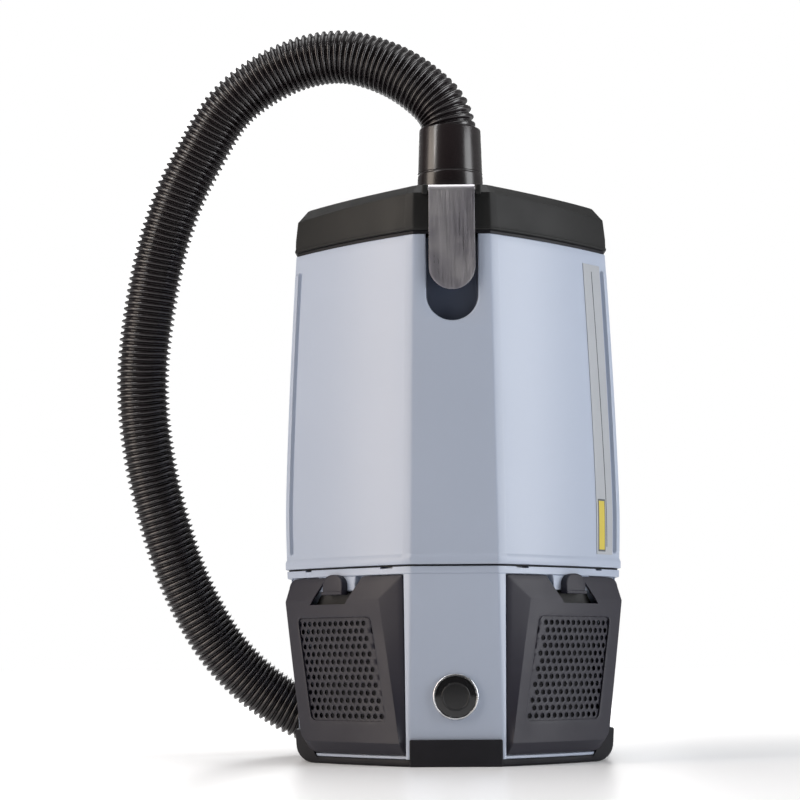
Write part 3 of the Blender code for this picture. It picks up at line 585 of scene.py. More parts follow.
SHELL = plastic("shell_grey", (0.425, 0.480, 0.590), 0.31, grain=0.00001, variation=0.012, smudge=0.012)
LID_BLACK = plastic("lid_black", (0.0110, 0.0112, 0.0112), 0.50, grain=0.00006, variation=0.08, wear=0.25,
                    specular=0.25)
COVER = plastic("cover_grey", (0.0190, 0.0180, 0.0285), 0.48, grain=0.00007, grain_scale=1900.0,
                variation=0.06,
                wear=0.20, specular=0.4)
STEEL = brushed("latch_steel", (0.94, 0.90, 1.0), scale=(900.0, 900.0, 26.0))
RUBBER = rubber("black_rubber", (0.0048, 0.0046, 0.0075))
HOSE_BLACK = plastic("hose_black", (0.013, 0.010, 0.0115), 0.20, grain=0.000002, variation=0.10,
                     smudge=0.03, specular=0.7)
CUFF_BLACK = plastic("cuff_black", (0.015, 0.011, 0.012), 0.24, grain=0.000002, variation=0.08, smudge=0.03,
                     coat=0.15)
FOAM = foam("filter_foam", (0.045, 0.045, 0.050))
CLOTH = woven("filter_cloth", (0.70, 0.70, 0.68), 0.0012)
PAPER = paper("bag_paper", (0.74, 0.67, 0.54))
MOTOR_METAL = metal("motor_metal", (0.50, 0.51, 0.53), 0.34)
COPPER = metal("motor_copper", (0.60, 0.28, 0.14), 0.38)
CARBON = rubber("brush_carbon", (0.020, 0.020, 0.021), 0.7)
SILVER = metal("badge_silver", (0.70, 0.71, 0.73), 0.22)
BADGE_BLACK = plastic("badge_black", (0.010, 0.010, 0.011), 0.16, grain=0.00001, smudge=0.03, coat=0.5)
LABEL = plastic("label_grey", (0.41, 0.43, 0.46), 0.34, grain=0.00001, variation=0.02)
LABEL_LINE = plastic("label_line", (0.10, 0.11, 0.12), 0.4, grain=0.00001, variation=0.02)
LABEL_BLOCK = plastic("label_block", (0.62, 0.50, 0.07), 0.4, grain=0.00001, variation=0.03)
PLATE_BLACK = plastic("plate_black", (0.024, 0.024, 0.026), 0.52, grain=0.00010, grain_scale=1300.0,
                      wear=0.25)
PAD_MESH = mesh_fabric("pad_fabric", (0.026, 0.027, 0.030))
PIPING = woven("piping", (0.018, 0.018, 0.020), 0.0009)
WEBBING = woven("webbing", (0.017, 0.017, 0.019), 0.0016, depth=0.0005)
STITCH = woven("stitch_thread", (0.11, 0.11, 0.12), 0.0006)
BUCKLE = plastic("buckle_black", (0.016, 0.016, 0.017), 0.36, grain=0.00004, wear=0.2)
SCREW = metal("screw_steel", (0.62, 0.62, 0.62), 0.25)
# Near-black for the pocket under a cover's tab: painted shade in the cavity.
POCKET_PAINTED_SHADE = plastic("pocket_painted_shade", (0.005, 0.005, 0.006), 0.6, grain=0.00004, variation=0.10)
# The finger recess's liner: the shell's blue-grey made dark, painted shade inside the recess.
RECESS_PAINTED_SHADE = plastic("recess_liner_painted_shade", (0.050, 0.062, 0.095), 0.42, grain=0.00004, variation=0.10)


# ---- Suction hose --------------------------------------------------------------------------------
def along_frames(line):
    """Tangent, normal and binormal down a line, without twist."""
    frames = []
    normal = None
    for i, point in enumerate(line):
        ahead = line[min(i + 1, len(line) - 1)]
        behind = line[max(i - 1, 0)]
        tangent = (ahead - behind).normalized()
        if normal is None:
            normal = tangent.cross(Vector((0, 1, 0))).normalized()
        normal = (normal - tangent * normal.dot(tangent)).normalized()
        frames.append((tangent, normal, tangent.cross(normal)))
    return frames


# One pitch of the hose wall: how far round the pitch, and how far down from the rib's crest.
HOSE_WALL = [(0.00, 0.0), (0.09, 0.00010), (0.17, 0.0004), (0.24, 0.0009), (0.30, 0.0016), (0.36, 0.0024),
             (0.43, 0.0030), (0.50, 0.0032), (0.57, 0.0030), (0.64, 0.0024), (0.70, 0.0016), (0.76, 0.0009),
             (0.83, 0.0004), (0.91, 0.00010)]
HOSE_SIDES = 40
HOSE_SUNK = 0.006            # how far the hose goes down inside its cuff


def build_hose():
    """The ribbed hose: a helical wall swept along its route, with its own length and diameter."""
    route = [Vector((x, y + FRONT_Y, z)) for x, y, z in HOSE_ROUTE]
    line = relax(smooth_route(route, 0.002), 60)
    line = [line[0] - Vector((0, 0, HOSE_SUNK))] + line
    lengths = [0.0]
    for a, b in zip(line, line[1:]):
        lengths.append(lengths[-1] + (b - a).length)
    frames = along_frames(line)
    total = lengths[-1]
    rows = []
    turns = int(total / HOSE_PITCH) + 1
    index = 0
    starts = [(turn + part) * HOSE_PITCH for turn in range(-1, turns) for part, _ in HOSE_WALL]
    drops = [drop for _ in range(-1, turns) for _, drop in HOSE_WALL]
    for start, drop in zip(starts, drops):
        row = []
        for side in range(HOSE_SIDES):
            s = min(total, max(0.0, start + HOSE_PITCH * side / HOSE_SIDES))
            while index < len(line) - 2 and lengths[index + 1] < s:
                index += 1
            while index > 0 and lengths[index] > s:
                index -= 1
            t = (s - lengths[index]) / (lengths[index + 1] - lengths[index])
            centre = line[index].lerp(line[index + 1], t)
            normal = frames[index][1].lerp(frames[index + 1][1], t)
            binormal = frames[index][2].lerp(frames[index + 1][2], t)
            angle = 2 * pi * side / HOSE_SIDES
            radius = HOSE_DIAMETER / 2 - drop
            row.append(centre + normal * (radius * cos(angle)) + binormal * (radius * sin(angle)))
        rows.append(row)
    # The wall closes on itself one pitch further round, because the rib is a helix.
    step = len(HOSE_WALL)
    bm = bmesh.new()
    verts = [[bm.verts.new(p) for p in row] for row in rows]
    for i in range(len(verts) - 1):
        for side in range(HOSE_SIDES - 1):
            bm.faces.new((verts[i][side], verts[i][side + 1], verts[i + 1][side + 1], verts[i + 1][side]))
        if i + 1 + step < len(verts):
            bm.faces.new((verts[i][-1], verts[i + step][0], verts[i + step + 1][0], verts[i + 1][-1]))
    hose = finish_mesh("suction_hose_ribbed", bm, HOSE_BLACK, "lid", 75)
    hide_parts("suction_hose")
    return hose, smooth_route(route, 0.02)


def build_cuffs():
    """Glossy cuffs at both ends of the hose."""
    z0, z1 = CUFF[0][2], CUFF[1][2]
    top = (0.0, CENTRE_Y, 0.0)
    profile = [(0.0205, z0), (0.0284, z0), (0.0288, z0 + 0.0008), (0.0286, 0.4955), (0.0285, 0.4965),
               (0.0280, 0.4970), (0.0280, 0.4978), (0.0284, 0.4983), (0.0283, 0.4990), (0.0273, z1 - 0.0016),
               (0.0269, z1 - 0.0004), (0.0262, z1), (0.0243, z1), (0.0240, z1 - 0.0006), (0.0238, 0.512),
               (0.0205, 0.510)]
    cuff = lathe("hose_cuff_turned", profile, top, CUFF_BLACK, "cuff", segments=96)
    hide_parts("hose_cuff")
    x0, x1 = END_CUFF[0][0], END_CUFF[1][0]
    middle = (END_CUFF[0][1] + END_CUFF[1][1]) / 2
    height = (END_CUFF[0][2] + END_CUFF[1][2]) / 2
    profile = [(0.0195, x0), (0.0246, x0), (0.0250, x0 + 0.0006), (0.0257, x0 + 0.006), (0.0257, x0 + 0.012),
               (0.0251, x0 + 0.0128), (0.0251, x0 + 0.0138), (0.0256, x0 + 0.0146), (0.0252, x1 - 0.008),
               (0.0256, x1 - 0.007), (0.0256, x1 - 0.003), (0.0252, x1 - 0.0012), (0.0244, x1 - 0.0003),
               (0.0236, x1), (0.0205, x1), (0.0195, x1 - 0.001)]
    end = lathe("hose_end_cuff_turned", profile, (0.0, middle, height), CUFF_BLACK, "lid", "X", 96)
    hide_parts("hose_end_cuff")
    return end


build_camera()
HOSE, HOSE_LINE = build_hose()
HOSE_END = build_cuffs()


# ---- Panel pieces --------------------------------------------------------------------------------
def panel_loop(corners, out, side, inward=0.0):
    """A rounded quad in panel coordinates. Each corner is (u, z, radius); u and z run outwards and up."""
    mean_u = sum(u for u, _, _ in corners) / len(corners)
    mean_z = sum(z for _, z, _ in corners) / len(corners)
    flat = []
    for u, z, radius in corners:
        flat.append((Vector(((u - (inward / PANEL_ARC if u > mean_u else -inward / PANEL_ARC)) * PANEL_ARC,
                             z - (inward if z > mean_z else -inward), 0.0)), radius))
    points = []
    count = len(flat)
    for i, (point, radius) in enumerate(flat):
        before = flat[i - 1][0] - point
        after = flat[(i + 1) % count][0] - point
        a = point + before.normalized() * min(radius, before.length * 0.45)
        b = point + after.normalized() * min(radius, after.length * 0.45)
        for k in range(9):
            t = k / 8
            points.append(a * (1 - t) ** 2 + point * (2 * t * (1 - t)) + b * t ** 2)
        following, next_radius = flat[(i + 1) % count]
        back = (point - following).normalized() * min(next_radius, after.length * 0.45)
        goal = following + back
        for k in range(1, 8):
            points.append(b.lerp(goal, k / 8))
    return [panel_point(p.x / PANEL_ARC, p.y, out, side) for p in points]


def panel_prism(name, corners, outs, side, mat, body, steps=6):
    """A closed solid over a quad of the panel, through a list of (out, inward) levels."""
    bm = bmesh.new()
    grids = []
    (u0, z0), (u1, z1), (u2, z2), (u3, z3) = corners
    for out, inward in outs:
        du = inward / PANEL_ARC
        grid = []
        for row in range(steps + 1):
            t = row / steps
            low_u, high_u = u0 + du + (u3 - u0) * t, u1 - du + (u2 - u1) * t
            low_z = z0 + inward + (z3 - z0 - 2 * inward) * t
            high_z = z1 + inward + (z2 - z1 - 2 * inward) * t
            grid.append([bm.verts.new(panel_point(low_u + (high_u - low_u) * c / steps,
                                                  low_z + (high_z - low_z) * c / steps, out, side))
                         for c in range(steps + 1)])
        grids.append(grid)
    loops = [g[0] + [r[-1] for r in g[1:-1]] + list(reversed(g[-1])) + [r[0] for r in reversed(g[1:-1])]
             for g in grids]
    for low, high in zip(loops, loops[1:]):
        for i in range(len(low)):
            j = (i + 1) % len(low)
            bm.faces.new((low[i], low[j], high[j], high[i]))
    for grid in (grids[0], grids[-1]):
        for lower, upper in zip(grid, grid[1:]):
            for i in range(steps):
                bm.faces.new((lower[i], lower[i + 1], upper[i + 1], upper[i]))
    bmesh.ops.delete(bm, geom=[v for v in bm.verts if not v.link_faces], context="VERTS")
    return finish_mesh(name, bm, mat, body)


# ---- Tank ----------------------------------------------------------------------------------------
RAIL_Z0 = 0.1695
RAIL_Z1 = 0.4120
RAIL_RISE = 0.0016
FLANGE_PROUD = 0.0012


def rail_rise(z):
    reach = min(1.0, max(0.0, min(z - RAIL_Z0, RAIL_Z1 - z) / 0.0035))
    return RAIL_RISE * reach * reach * (3 - 2 * reach)


def u_prism(name, sections, z_bottom, z_top, mat, body):
    """A U-shaped solid through sections of (y from the front plane, half width)."""
    rings = []
    for y, half in sections:
        ring = [Vector((half, y + FRONT_Y, z_top))]
        middle = z_bottom + RECESS_HALF
        ring += [Vector((half * cos(-k * pi / 28), y + FRONT_Y, middle + half * sin(-k * pi / 28)))
                 for k in range(29)]
        ring.append(Vector((-half, y + FRONT_Y, z_top)))
        rings.append(ring)
    return loft(name, rings, mat, body)


def build_tank():
    """Tank: flange, panels with rails, a finger recess with its liner in painted shade, and the inlet to the
    motor.
    """
    rings = []
    for z, proud in ((TANK_Z0, FLANGE_PROUD - 0.0003), (TANK_Z0 + 0.0001, FLANGE_PROUD - 0.0001),
                     (TANK_Z0 + 0.0003, FLANGE_PROUD), (0.1638,
                                                        FLANGE_PROUD), (0.1644, FLANGE_PROUD - 0.0001),
                     (0.1662, 0.0004), (0.1668, 0.0001), (0.1674, 0.0)):
        rings.append(inset(body_outline(z), -proud))
    levels = [RAIL_Z0 + 0.0006 * k for k in range(7)] + [0.182 + 0.0088 * k for k in range(26)]
    levels += [RAIL_Z1 - 0.0006 * k for k in range(6, -1, -1)] + [0.418]
    for z in levels:
        rings.append(body_outline(z, rails=rail_rise(z)))
    for z, sunk in ((TANK_Z1 - 0.0010, 0.0), (TANK_Z1 - 0.0003, 0.0003), (TANK_Z1, 0.0009)):
        rings.append(inset(body_outline(z), sunk))
    for z in (TANK_Z1, 0.330, 0.205, 0.1618):
        rings.append(shrink(body_outline(z), WALL + 0.0006, z))
    tank = loft("tank_shell", rings, SHELL, "body")
    hole = u_prism("recess_guide", [(-0.0100, 0.0228), (-0.0002, 0.0226), (0.0001, 0.0220), (0.0008, 0.0213),
                                    (0.0018, RECESS_HALF), (0.0060,
                                                            RECESS_HALF)], RECESS_BOTTOM, 0.440, SHELL, None)
    bm = bmesh.new()
    rows = []
    for z in (0.140, 0.170):
        rows.append([Vector((0.045 * cos(2 * pi * k / 64), CENTRE_Y + 0.045 * sin(2 * pi * k / 64), z))
                     for k in range(64)])
    add_rings(bm, rows)
    inlet = finish_mesh("inlet_guide", bm, SHELL, None)
    cut(tank, [hole, inlet])
    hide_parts("upper_shell")
    depth = RECESS_DEPTH
    # The liner's dark colour is painted shade in the finger recess.
    liner = u_prism("recess_liner_painted_shade", [(depth + 0.0022, RECESS_HALF), (depth + 0.0022, RECESS_HALF + 0.0018),
                                     (0.0031, RECESS_HALF + 0.0024), (0.0031, RECESS_HALF + 0.0002),
                                     (depth - 0.0022,
                                      RECESS_HALF - 0.0002), (depth - 0.0006, RECESS_HALF - 0.0008),
                                     (depth,
                                      RECESS_HALF - 0.0024)], RECESS_BOTTOM, 0.4250, RECESS_PAINTED_SHADE, "body")


def build_housing():
    """Motor housing: panels set back for the covers, windows, seam slots and gland holes."""
    rings = []
    for z, out in ((HOUSING_Z0, -0.0019), (HOUSING_Z0 + 0.0004, -0.0015), (0.0079, -0.0015),
                   (0.0083, -0.0019),
                   (0.0083, -COVER_RECESS), (0.0105, -COVER_RECESS), (0.0120, -COVER_RECESS),
                   (0.0140, -COVER_RECESS), (0.030, -COVER_RECESS), (0.060,
                                                                     -COVER_RECESS), (0.090, -COVER_RECESS),
                   (0.120, -COVER_RECESS), (0.1510, -COVER_RECESS)):
        rings.append(body_outline(z, out=out, side_inset=SIDE_INSET, facet=False))
    for z, sunk in ((0.1513, 0.0004), (0.1517, 0.0), (HOUSING_Z1 - 0.0003, 0.0),
                    (HOUSING_Z1 - 0.0001, 0.0001),
                    (HOUSING_Z1, 0.0003)):
        rings.append(inset(body_outline(z), sunk))
    for z in (HOUSING_Z1, 0.110, 0.060, 0.014, HOUSING_Z0 + WALL):
        rings.append(shrink(body_outline(z, out=-COVER_RECESS, side_inset=SIDE_INSET, facet=False),
                            WALL + 0.0006, z))
    housing = loft("motor_housing_shell", rings, SHELL, "body")
    tools = []
    for side in (1, -1):
        tools.append(panel_prism("exhaust_window_guide",
                                 [(0.15, 0.030), (0.85, 0.030), (0.85, 0.118), (0.15, 0.118)],
                                 [(-0.020, 0.0), (0.010, 0.0)], side, SHELL, None))
        for low, high in ((0.125, 0.215), (0.770, 0.825)):
            tools.append(panel_prism("seam_slot_guide",
                                     [(low, 0.1559), (high, 0.1559), (high, 0.1600), (low, 0.1600)],
                                     [(-0.0058, 0.0), (0.004, 0.0)], side, SHELL, None, 2))
    for x in (0.070, -0.070):
        tools.append(lathe("gland_hole_guide", [(0.0, 0.170 + FRONT_Y), (0.0058, 0.170 + FRONT_Y),
                                                (0.0058, 0.200 + FRONT_Y), (0.0, 0.200 + FRONT_Y)],
                           (x, 0.0, 0.110), SHELL, None, "Y", 32, closed=False))
    cut(housing, tools)
    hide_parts("lower_housing")
    for side, word in ((-1, "left"), (1, "right")):
        boss = panel_prism("cover_keeper_" + word,
                           [(0.415, 0.1392), (0.725, 0.1392), (0.715, 0.1512), (0.405, 0.1512)],
                           [(-COVER_RECESS - 0.0005, 0.0), (-0.0012, 0.0),
                            (-0.0006, 0.0006)], side, SHELL, "body", 4)


RIM_START = 15               # the outline's point where the rim begins, near the panel's outer edge
BUMPER_TOP = 0.0055
BUMPER_RIM_TOP = 0.027
BUMPER_BLOCK_TOP = 0.0212


def build_bumper():
    """Rubber base: plate, side and back rim and a block across the strip."""
    rings = []
    for z, sunk in ((0.0, 0.0016), (0.0003, 0.0008), (0.0010, 0.0002), (0.0020, 0.0), (0.0046, 0.0),
                    (0.0053, 0.0003), (BUMPER_TOP, 0.0009)):
        ring = inset(body_outline(z + 0.0001, out=-0.0004), sunk, z)
        for point in ring:
            if abs(point.x) < 0.036 and point.y < FRONT_Y + 0.010:
                point.y -= 0.0022
        rings.append(ring)
    bumper = loft("base_bumper_moulded", rings, RUBBER, "body")
    rims = []
    for z, thin in ((0.0035, 0.0), (0.0060, 0.0), (0.0090, 0.0), (0.0120, 0.0), (0.0160, 0.0), (0.0215, 0.0),
                    (0.0258, 0.0), (0.0265, 0.0003), (BUMPER_RIM_TOP, 0.0010)):
        outer = body_outline(z)[RIM_START:-RIM_START]
        inner = body_outline(z, out=-0.0055, side_inset=SIDE_INSET - 0.0003)[RIM_START:-RIM_START]
        middle = [(a + b) / 2 for a, b in zip(outer, inner)]
        blend = thin / 0.0016
        outer = [p.lerp(m, blend) for p, m in zip(outer, middle)]
        inner = [p.lerp(m, blend) for p, m in zip(inner, middle)]
        rims.append(outer + list(reversed(inner)))
    rim = loft("base_bumper_rim", rims, RUBBER, "body")
    half = strip_half(0.0) - 0.0006
    block = box_piece("base_bumper_block", (-half, FRONT_Y - 0.0040, 0.0002),
                      (half, FRONT_Y - 0.0003, BUMPER_BLOCK_TOP), RUBBER, "body", 0.0011, 3)
    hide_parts("base_bumper")



# ---- Exhaust covers ------------------------------------------------------------------------------
COVER_Z0 = 0.0090
COVER_Z1 = 0.1506
COVER_FACE = 0.0045
GRILLE_FACE = 0.0031
GRILLE_ROWS = 13
GRILLE_COLUMNS = 12
HOLE_RADIUS = 0.00208


def cover_frame(side, word):
    """A cover's frame: bevelled edge, flat face, window and the notch that its tab stands in."""
    body = "cover_" + word
    edge = [(0.0300, COVER_Z0, 0.0020), (0.898, COVER_Z0, 0.0150), (1.000, COVER_Z1, 0.0135),
            (0.0550, COVER_Z1, 0.0030)]
    face = [(0.0480, 0.0180, 0.0012), (0.896, 0.0180, 0.0100), (0.988, 0.1322, 0.0012),
            (0.2050, 0.1322, 0.0012)]
    window = [(0.152, 0.0350, 0.0050), (0.787, 0.0350, 0.0050), (0.874, 0.1178, 0.0050),
              (0.266, 0.1178, 0.0050)]
    loops = [
        panel_loop(edge, -0.0055, side, 0.0024), panel_loop(edge, -0.0055, side, 0.0004),
        panel_loop(edge, -0.0051, side), panel_loop(edge, -0.0006,
                                                    side), panel_loop(edge, -0.0001, side, 0.0002),
        panel_loop(edge, 0.0003, side, 0.0008),
    ]

    def between(first, second, t):
        return [a.lerp(b, t) for a, b in zip(first, second)]

    top = panel_loop(face, COVER_FACE, side)
    start = loops[-1]
    loops += [between(start, top, t) for t in (0.25, 0.5, 0.75)]
    near = between(start, top, 0.955)
    inner = panel_loop(window, COVER_FACE, side, -0.0006)
    loops += [near, [a.lerp(b, 0.6) for a, b in zip(near, top)]]
    far = between(top, inner, 0.045)
    loops += [[a.lerp(b, 0.6) for a, b in zip(far, top)], far]
    for t in (0.3, 0.55, 0.8):
        mix = [tuple(a + (b - a) * t for a, b in zip(c, d)) for c, d in zip(face, window)]
        loops.append(panel_loop(mix, COVER_FACE, side))
    loops += [inner, panel_loop(window, COVER_FACE - 0.0001, side, -0.0002),
              panel_loop(window, COVER_FACE - 0.0005, side),
              panel_loop(window, GRILLE_FACE + 0.0004, side)]
    wide = panel_loop(window, GRILLE_FACE + 0.0002, side, -0.0045)
    loops += [wide, panel_loop(face, GRILLE_FACE + 0.0002, side, 0.0010),
              panel_loop(edge, -0.0022, side, 0.0024)]
    frame_piece = loft("exhaust_cover_frame_" + word, loops, COVER, body, wrap=True, smooth_angle=38)
    notch = panel_prism("notch_guide", [(0.460, 0.1285), (0.757, 0.1285), (0.592, 0.1600), (0.300, 0.1600)],
                        [(-0.012, 0.0), (0.020, 0.0)], side, COVER, None, 5)
    cut(frame_piece, [notch])
    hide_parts("exhaust_cover_" + word)
    # A near-black pocket below the notch: painted shade in the cavity under the tab.
    pocket = panel_prism("cover_painted_shade_pocket_" + word,
                         [(0.452, 0.1276), (0.765, 0.1276), (0.700, 0.1388), (0.410, 0.1388)],
                         [(-0.0052, 0.0), (-0.0030, 0.0)], side, POCKET_PAINTED_SHADE, body, 5)


def build_grille(side, word):
    """The perforated sheet behind a cover's window: hexagonal cells, each with a countersunk hole."""

    def place(a, b, out):
        """Lattice to panel: a counts holes from the outer end of a row, b counts rows from the top."""
        outer = 0.868 - 0.0052 * b
        pitch = 0.0452 + 0.00050 * b
        return panel_point(outer - a * pitch, 0.1128 - 0.00616 * b, out, side)

    bm = bmesh.new()
    border = {}

    def corner(a, b):
        key = (round(a * 12), round(b * 12))
        if key not in border:
            border[key] = bm.verts.new(place(a, b, GRILLE_FACE))
        return border[key]

    hexagon = [(0.5, -1 / 3), (0.5, 0.0), (0.5, 1 / 3), (0.25, 0.5), (0.0, 2 / 3), (-0.25, 0.5),
               (-0.5, 1 / 3),
               (-0.5, 0.0), (-0.5, -1 / 3), (-0.25, -0.5), (0.0, -2 / 3), (0.25, -0.5)]
    for row in range(-1, GRILLE_ROWS + 1):
        shift = 0.5 if row % 2 else 0.0
        for column in range(-2, GRILLE_COLUMNS + 3):
            a0 = column + shift
            if a0 < -1.01 or a0 > GRILLE_COLUMNS + 1.01:
                continue
            rim = [corner(a0 + a, row + b) for a, b in hexagon]
            if not (0 <= row < GRILLE_ROWS and 0 <= a0 <= GRILLE_COLUMNS):
                bm.faces.new(rim)
                continue
            centre = place(a0, row, 0.0)
            across = (place(a0 + 0.01, row, 0.0) - centre).normalized()
            outward = (place(a0, row, 0.001) - centre).normalized()
            upward = outward.cross(across).normalized()
            levels = []
            for out, radius in ((GRILLE_FACE, HOLE_RADIUS + 0.00028),
                                (GRILLE_FACE - 0.00012, HOLE_RADIUS + 0.00006),
                                (GRILLE_FACE - 0.0008, HOLE_RADIUS)):
                ring = []
                for vertex in rim:
                    offset = vertex.co - centre
                    angle = atan2(offset.dot(upward), offset.dot(across))
                    ring.append(bm.verts.new(centre + outward * out + across * (radius * cos(angle))
                                             + upward * (radius * sin(angle))))
                levels.append(ring)
            for low, high in zip([rim] + levels, levels):
                for i in range(12):
                    j = (i + 1) % 12
                    bm.faces.new((low[i], low[j], high[j], high[i]))
    bmesh.ops.recalc_face_normals(bm, faces=bm.faces)
    outward = place(6, 6, 0.01) - place(6, 6, 0.0)
    if sum(f.normal.dot(outward) * f.calc_area() for f in bm.faces) < 0:
        bmesh.ops.reverse_faces(bm, faces=bm.faces)
    mesh = bpy.data.meshes.new("exhaust_grille_" + word)
    bm.to_mesh(mesh)
    bm.free()
    grille = link("exhaust_grille_" + word, mesh, COVER, "cover_" + word, 40)
    solid = grille.modifiers.new("Thickness", "SOLIDIFY")
    solid.thickness = 0.0020
    solid.offset = -1.0


def build_tab(side, word):
    """The cover's latch tab: a round-topped thumb pad with a ridge along its foot."""
    body = "cover_tab_" + word
    rings = []
    for out, inward in ((-0.0008, 0.0003), (-0.0004, 0.0), (0.0052, 0.0), (0.0058, 0.0002), (0.0062, 0.0008),
                        (0.0063, 0.0016)):
        ring = []
        half = 0.0810 - inward / PANEL_ARC
        centre_u = 0.5530
        low_z = 0.1366 + inward
        shoulder = 0.1440
        rise = 0.0086 - inward
        ring += [(centre_u + half * (1 - 2 * k / 8), low_z) for k in range(8)]
        ring += [(centre_u - half, low_z), (centre_u - half, (low_z + shoulder) / 2)]
        ring += [(centre_u - half * cos(pi * k / 20), shoulder + rise * sin(pi * k / 20) ** 0.9)
                 for k in range(21)]
        ring += [(centre_u + half, (low_z + shoulder) / 2)]
        tilt = 0.0009
        rings.append([panel_point(u, z, out - tilt * (z - 0.1366) / 0.016, side) for u, z in ring])
    tab = loft("cover_latch_tab_" + word, rings, COVER, body)
    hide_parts("cover_latch_" + word)
    ridge = panel_prism("cover_latch_ridge_" + word,
                        [(0.469, 0.1362), (0.637, 0.1362), (0.637, 0.1388), (0.469, 0.1388)],
                        [(-0.0008, 0.0), (0.0066, 0.0), (0.0070, 0.0004)], side, COVER, body, 6)


def build_covers():
    for side, word in ((-1, "left"), (1, "right")):
        cover_frame(side, word)
        build_grille(side, word)
        build_tab(side, word)


# ---- Badge and label -----------------------------------------------------------------------------
def build_badge():
    """Plain round badge: a metal ring round a dished disc."""
    z = (BADGE[0][2] + BADGE[1][2]) / 2
    front = BADGE[0][1]
    back = BADGE[1][1]
    rim = [(0.0160, back), (0.0182, back), (0.0182, front + 0.0013), (0.0179, front + 0.0006),
           (0.0174, front + 0.0002),
           (0.0169, front + 0.0002), (0.0165, front + 0.0006), (0.0163,
                                                                front + 0.0010), (0.0160, front + 0.0012)]
    ring = lathe("round_badge_rim", rim, (0.0, 0.0, z), SILVER, "body", "Y", 96)
    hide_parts("round_badge")
    disc = [(0.0, back), (0.0159, back), (0.0159, front + 0.0010), (0.0155, front + 0.0008),
            (0.0112, front + 0.0005),
            (0.0110, front + 0.0002), (0.0100, front + 0.0002), (0.0098,
                                                                 front + 0.0005), (0.0, front + 0.0004)]
    face = lathe("round_badge_disc", disc, (0.0, 0.0, z), BADGE_BLACK, "body", "Y", 96, closed=False)


def build_label():
    """Blank label with a plain line and a plain block."""
    strip = panel_prism("label_strip_printed",
                        [(0.778, 0.1695), (0.924, 0.1695), (0.924, 0.4140), (0.762, 0.4140)],
                        [(0.0001, 0.0), (0.0005, 0.0), (0.0006, 0.0002)], 1, LABEL, "body", 24)
    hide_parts("label_strip")
    line = panel_prism("label_line", [(0.866, 0.1760), (0.8705, 0.1760), (0.8405, 0.4080), (0.836, 0.4080)],
                       [(0.0005, 0.0), (0.00078, 0.0)], 1, LABEL_LINE, "body", 24)
    block = panel_prism("label_block", [(0.797, 0.1735), (0.847, 0.1735), (0.845, 0.2140), (0.795, 0.2140)],
                        [(0.0005, 0.0), (0.00078, 0.0)], 1, LABEL_BLOCK, "body", 6)
    frame_block = panel_prism("label_block_edge",
                              [(0.789, 0.1719), (0.855, 0.1719), (0.853, 0.2156), (0.787, 0.2156)],
                              [(0.0005, 0.0), (0.00068, 0.0)], 1, LABEL_LINE, "body", 6)


# ---- Lid and latch -------------------------------------------------------------------------------
BORE_RADIUS = 0.0232


def build_lid():
    """Lid with a run-down edge, bored for the inlet tube, and the lugs that hold the latch's pin."""
    rim = body_outline(LID_Z0)
    rings = []
    for z, sunk in ((LID_Z0, 0.0002), (LID_Z0 + 0.0003, -0.0008), (LID_Z0 + 0.0010, -0.0014),
                    (LID_Z0 + 0.0018, -0.0014), (LID_Z0 + 0.0026, -0.0010), (LID_Z0 + 0.0034, -0.0008),
                    (LID_Z0 + 0.0100, -0.0007)):
        rings.append(inset(rim, sunk, z))
    shoulder = inset(rim, 0.0012, 0.4605)

    def lowered(points, drop):
        """The lid's edges run down towards the back of the side panels."""
        return [Vector((p.x, p.y, p.z - drop * min(1.0, (p.y - FRONT_Y) / 0.094))) for p in points]

    rings += [lowered(inset(rim, 0.0008, 0.4570), 0.0045), lowered(inset(rim, 0.0010, 0.4592), 0.0050),
              lowered(shoulder, 0.0050), lowered(shrink(shoulder, 0.0009, 0.4614), 0.0050)]
    edge = lowered(shrink(shoulder, 0.0095, 0.4690), 0.0030)
    rings += [lowered(shrink(shoulder, 0.0084, 0.4683), 0.0031), edge]
    for amount, z, drop in ((0.0015, 0.46945, 0.0028), (0.010, 0.4704, 0.0016), (0.022, 0.4714, 0.0006),
                            (0.036, LID_Z1, 0.0)):
        rings.append(lowered(shrink(edge, amount, z), drop))

    def round_bore(radius, z):
        """The ring that the cap's loop runs into round the inlet."""
        return [shrink([p], hypot(p.x, p.y - CENTRE_Y) - radius, z)[0] for p in rim]

    roof = 0.4540
    inner = [round_bore(BORE_RADIUS, roof), shrink(rim, WALL + 0.002, roof),
             shrink(rim, WALL + 0.0006, LID_Z0)]
    rings += [round_bore(0.0330, LID_Z1), round_bore(BORE_RADIUS, LID_Z1)]
    lid = loft("lid_cap", inner + rings, LID_BLACK, "lid", wrap=True)
    notch = box_piece("hinge_notch_guide", (-0.0196, FRONT_Y - 0.02, 0.4575),
                      (0.0196, FRONT_Y + 0.0032, 0.49),
                      LID_BLACK, None)
    cut(lid, [notch], thorough=True)
    round_bevel(lid, 0.0003, 2, 50)
    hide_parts("lid")
    for side, word in ((-1, "left"), (1, "right")):
        x0, x1 = sorted((side * 0.0192, side * 0.0240))
        lug = box_piece("hinge_lug_" + word, (x0, FRONT_Y - 0.0034, 0.4580), (x1, FRONT_Y + 0.0120, 0.4664),
                        LID_BLACK,
                        "lid", 0.0012, 3)
    z0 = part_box("inlet_tube")[0][2]
    tube = lathe("inlet_tube_flanged",
                 [(0.0195, z0), (0.0212, z0), (0.0216, z0 + 0.002), (0.0228, z0 + 0.004), (0.0228, 0.4722),
                  (0.0292, 0.4722), (0.0299, 0.4725), (0.0300, 0.4730), (0.0300, 0.4746), (0.0296, 0.4751),
                  (0.0290, 0.4752), (0.0195, 0.4752)], (0.0, CENTRE_Y, 0.0), LID_BLACK, "lid", segments=96)
    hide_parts("inlet_tube")


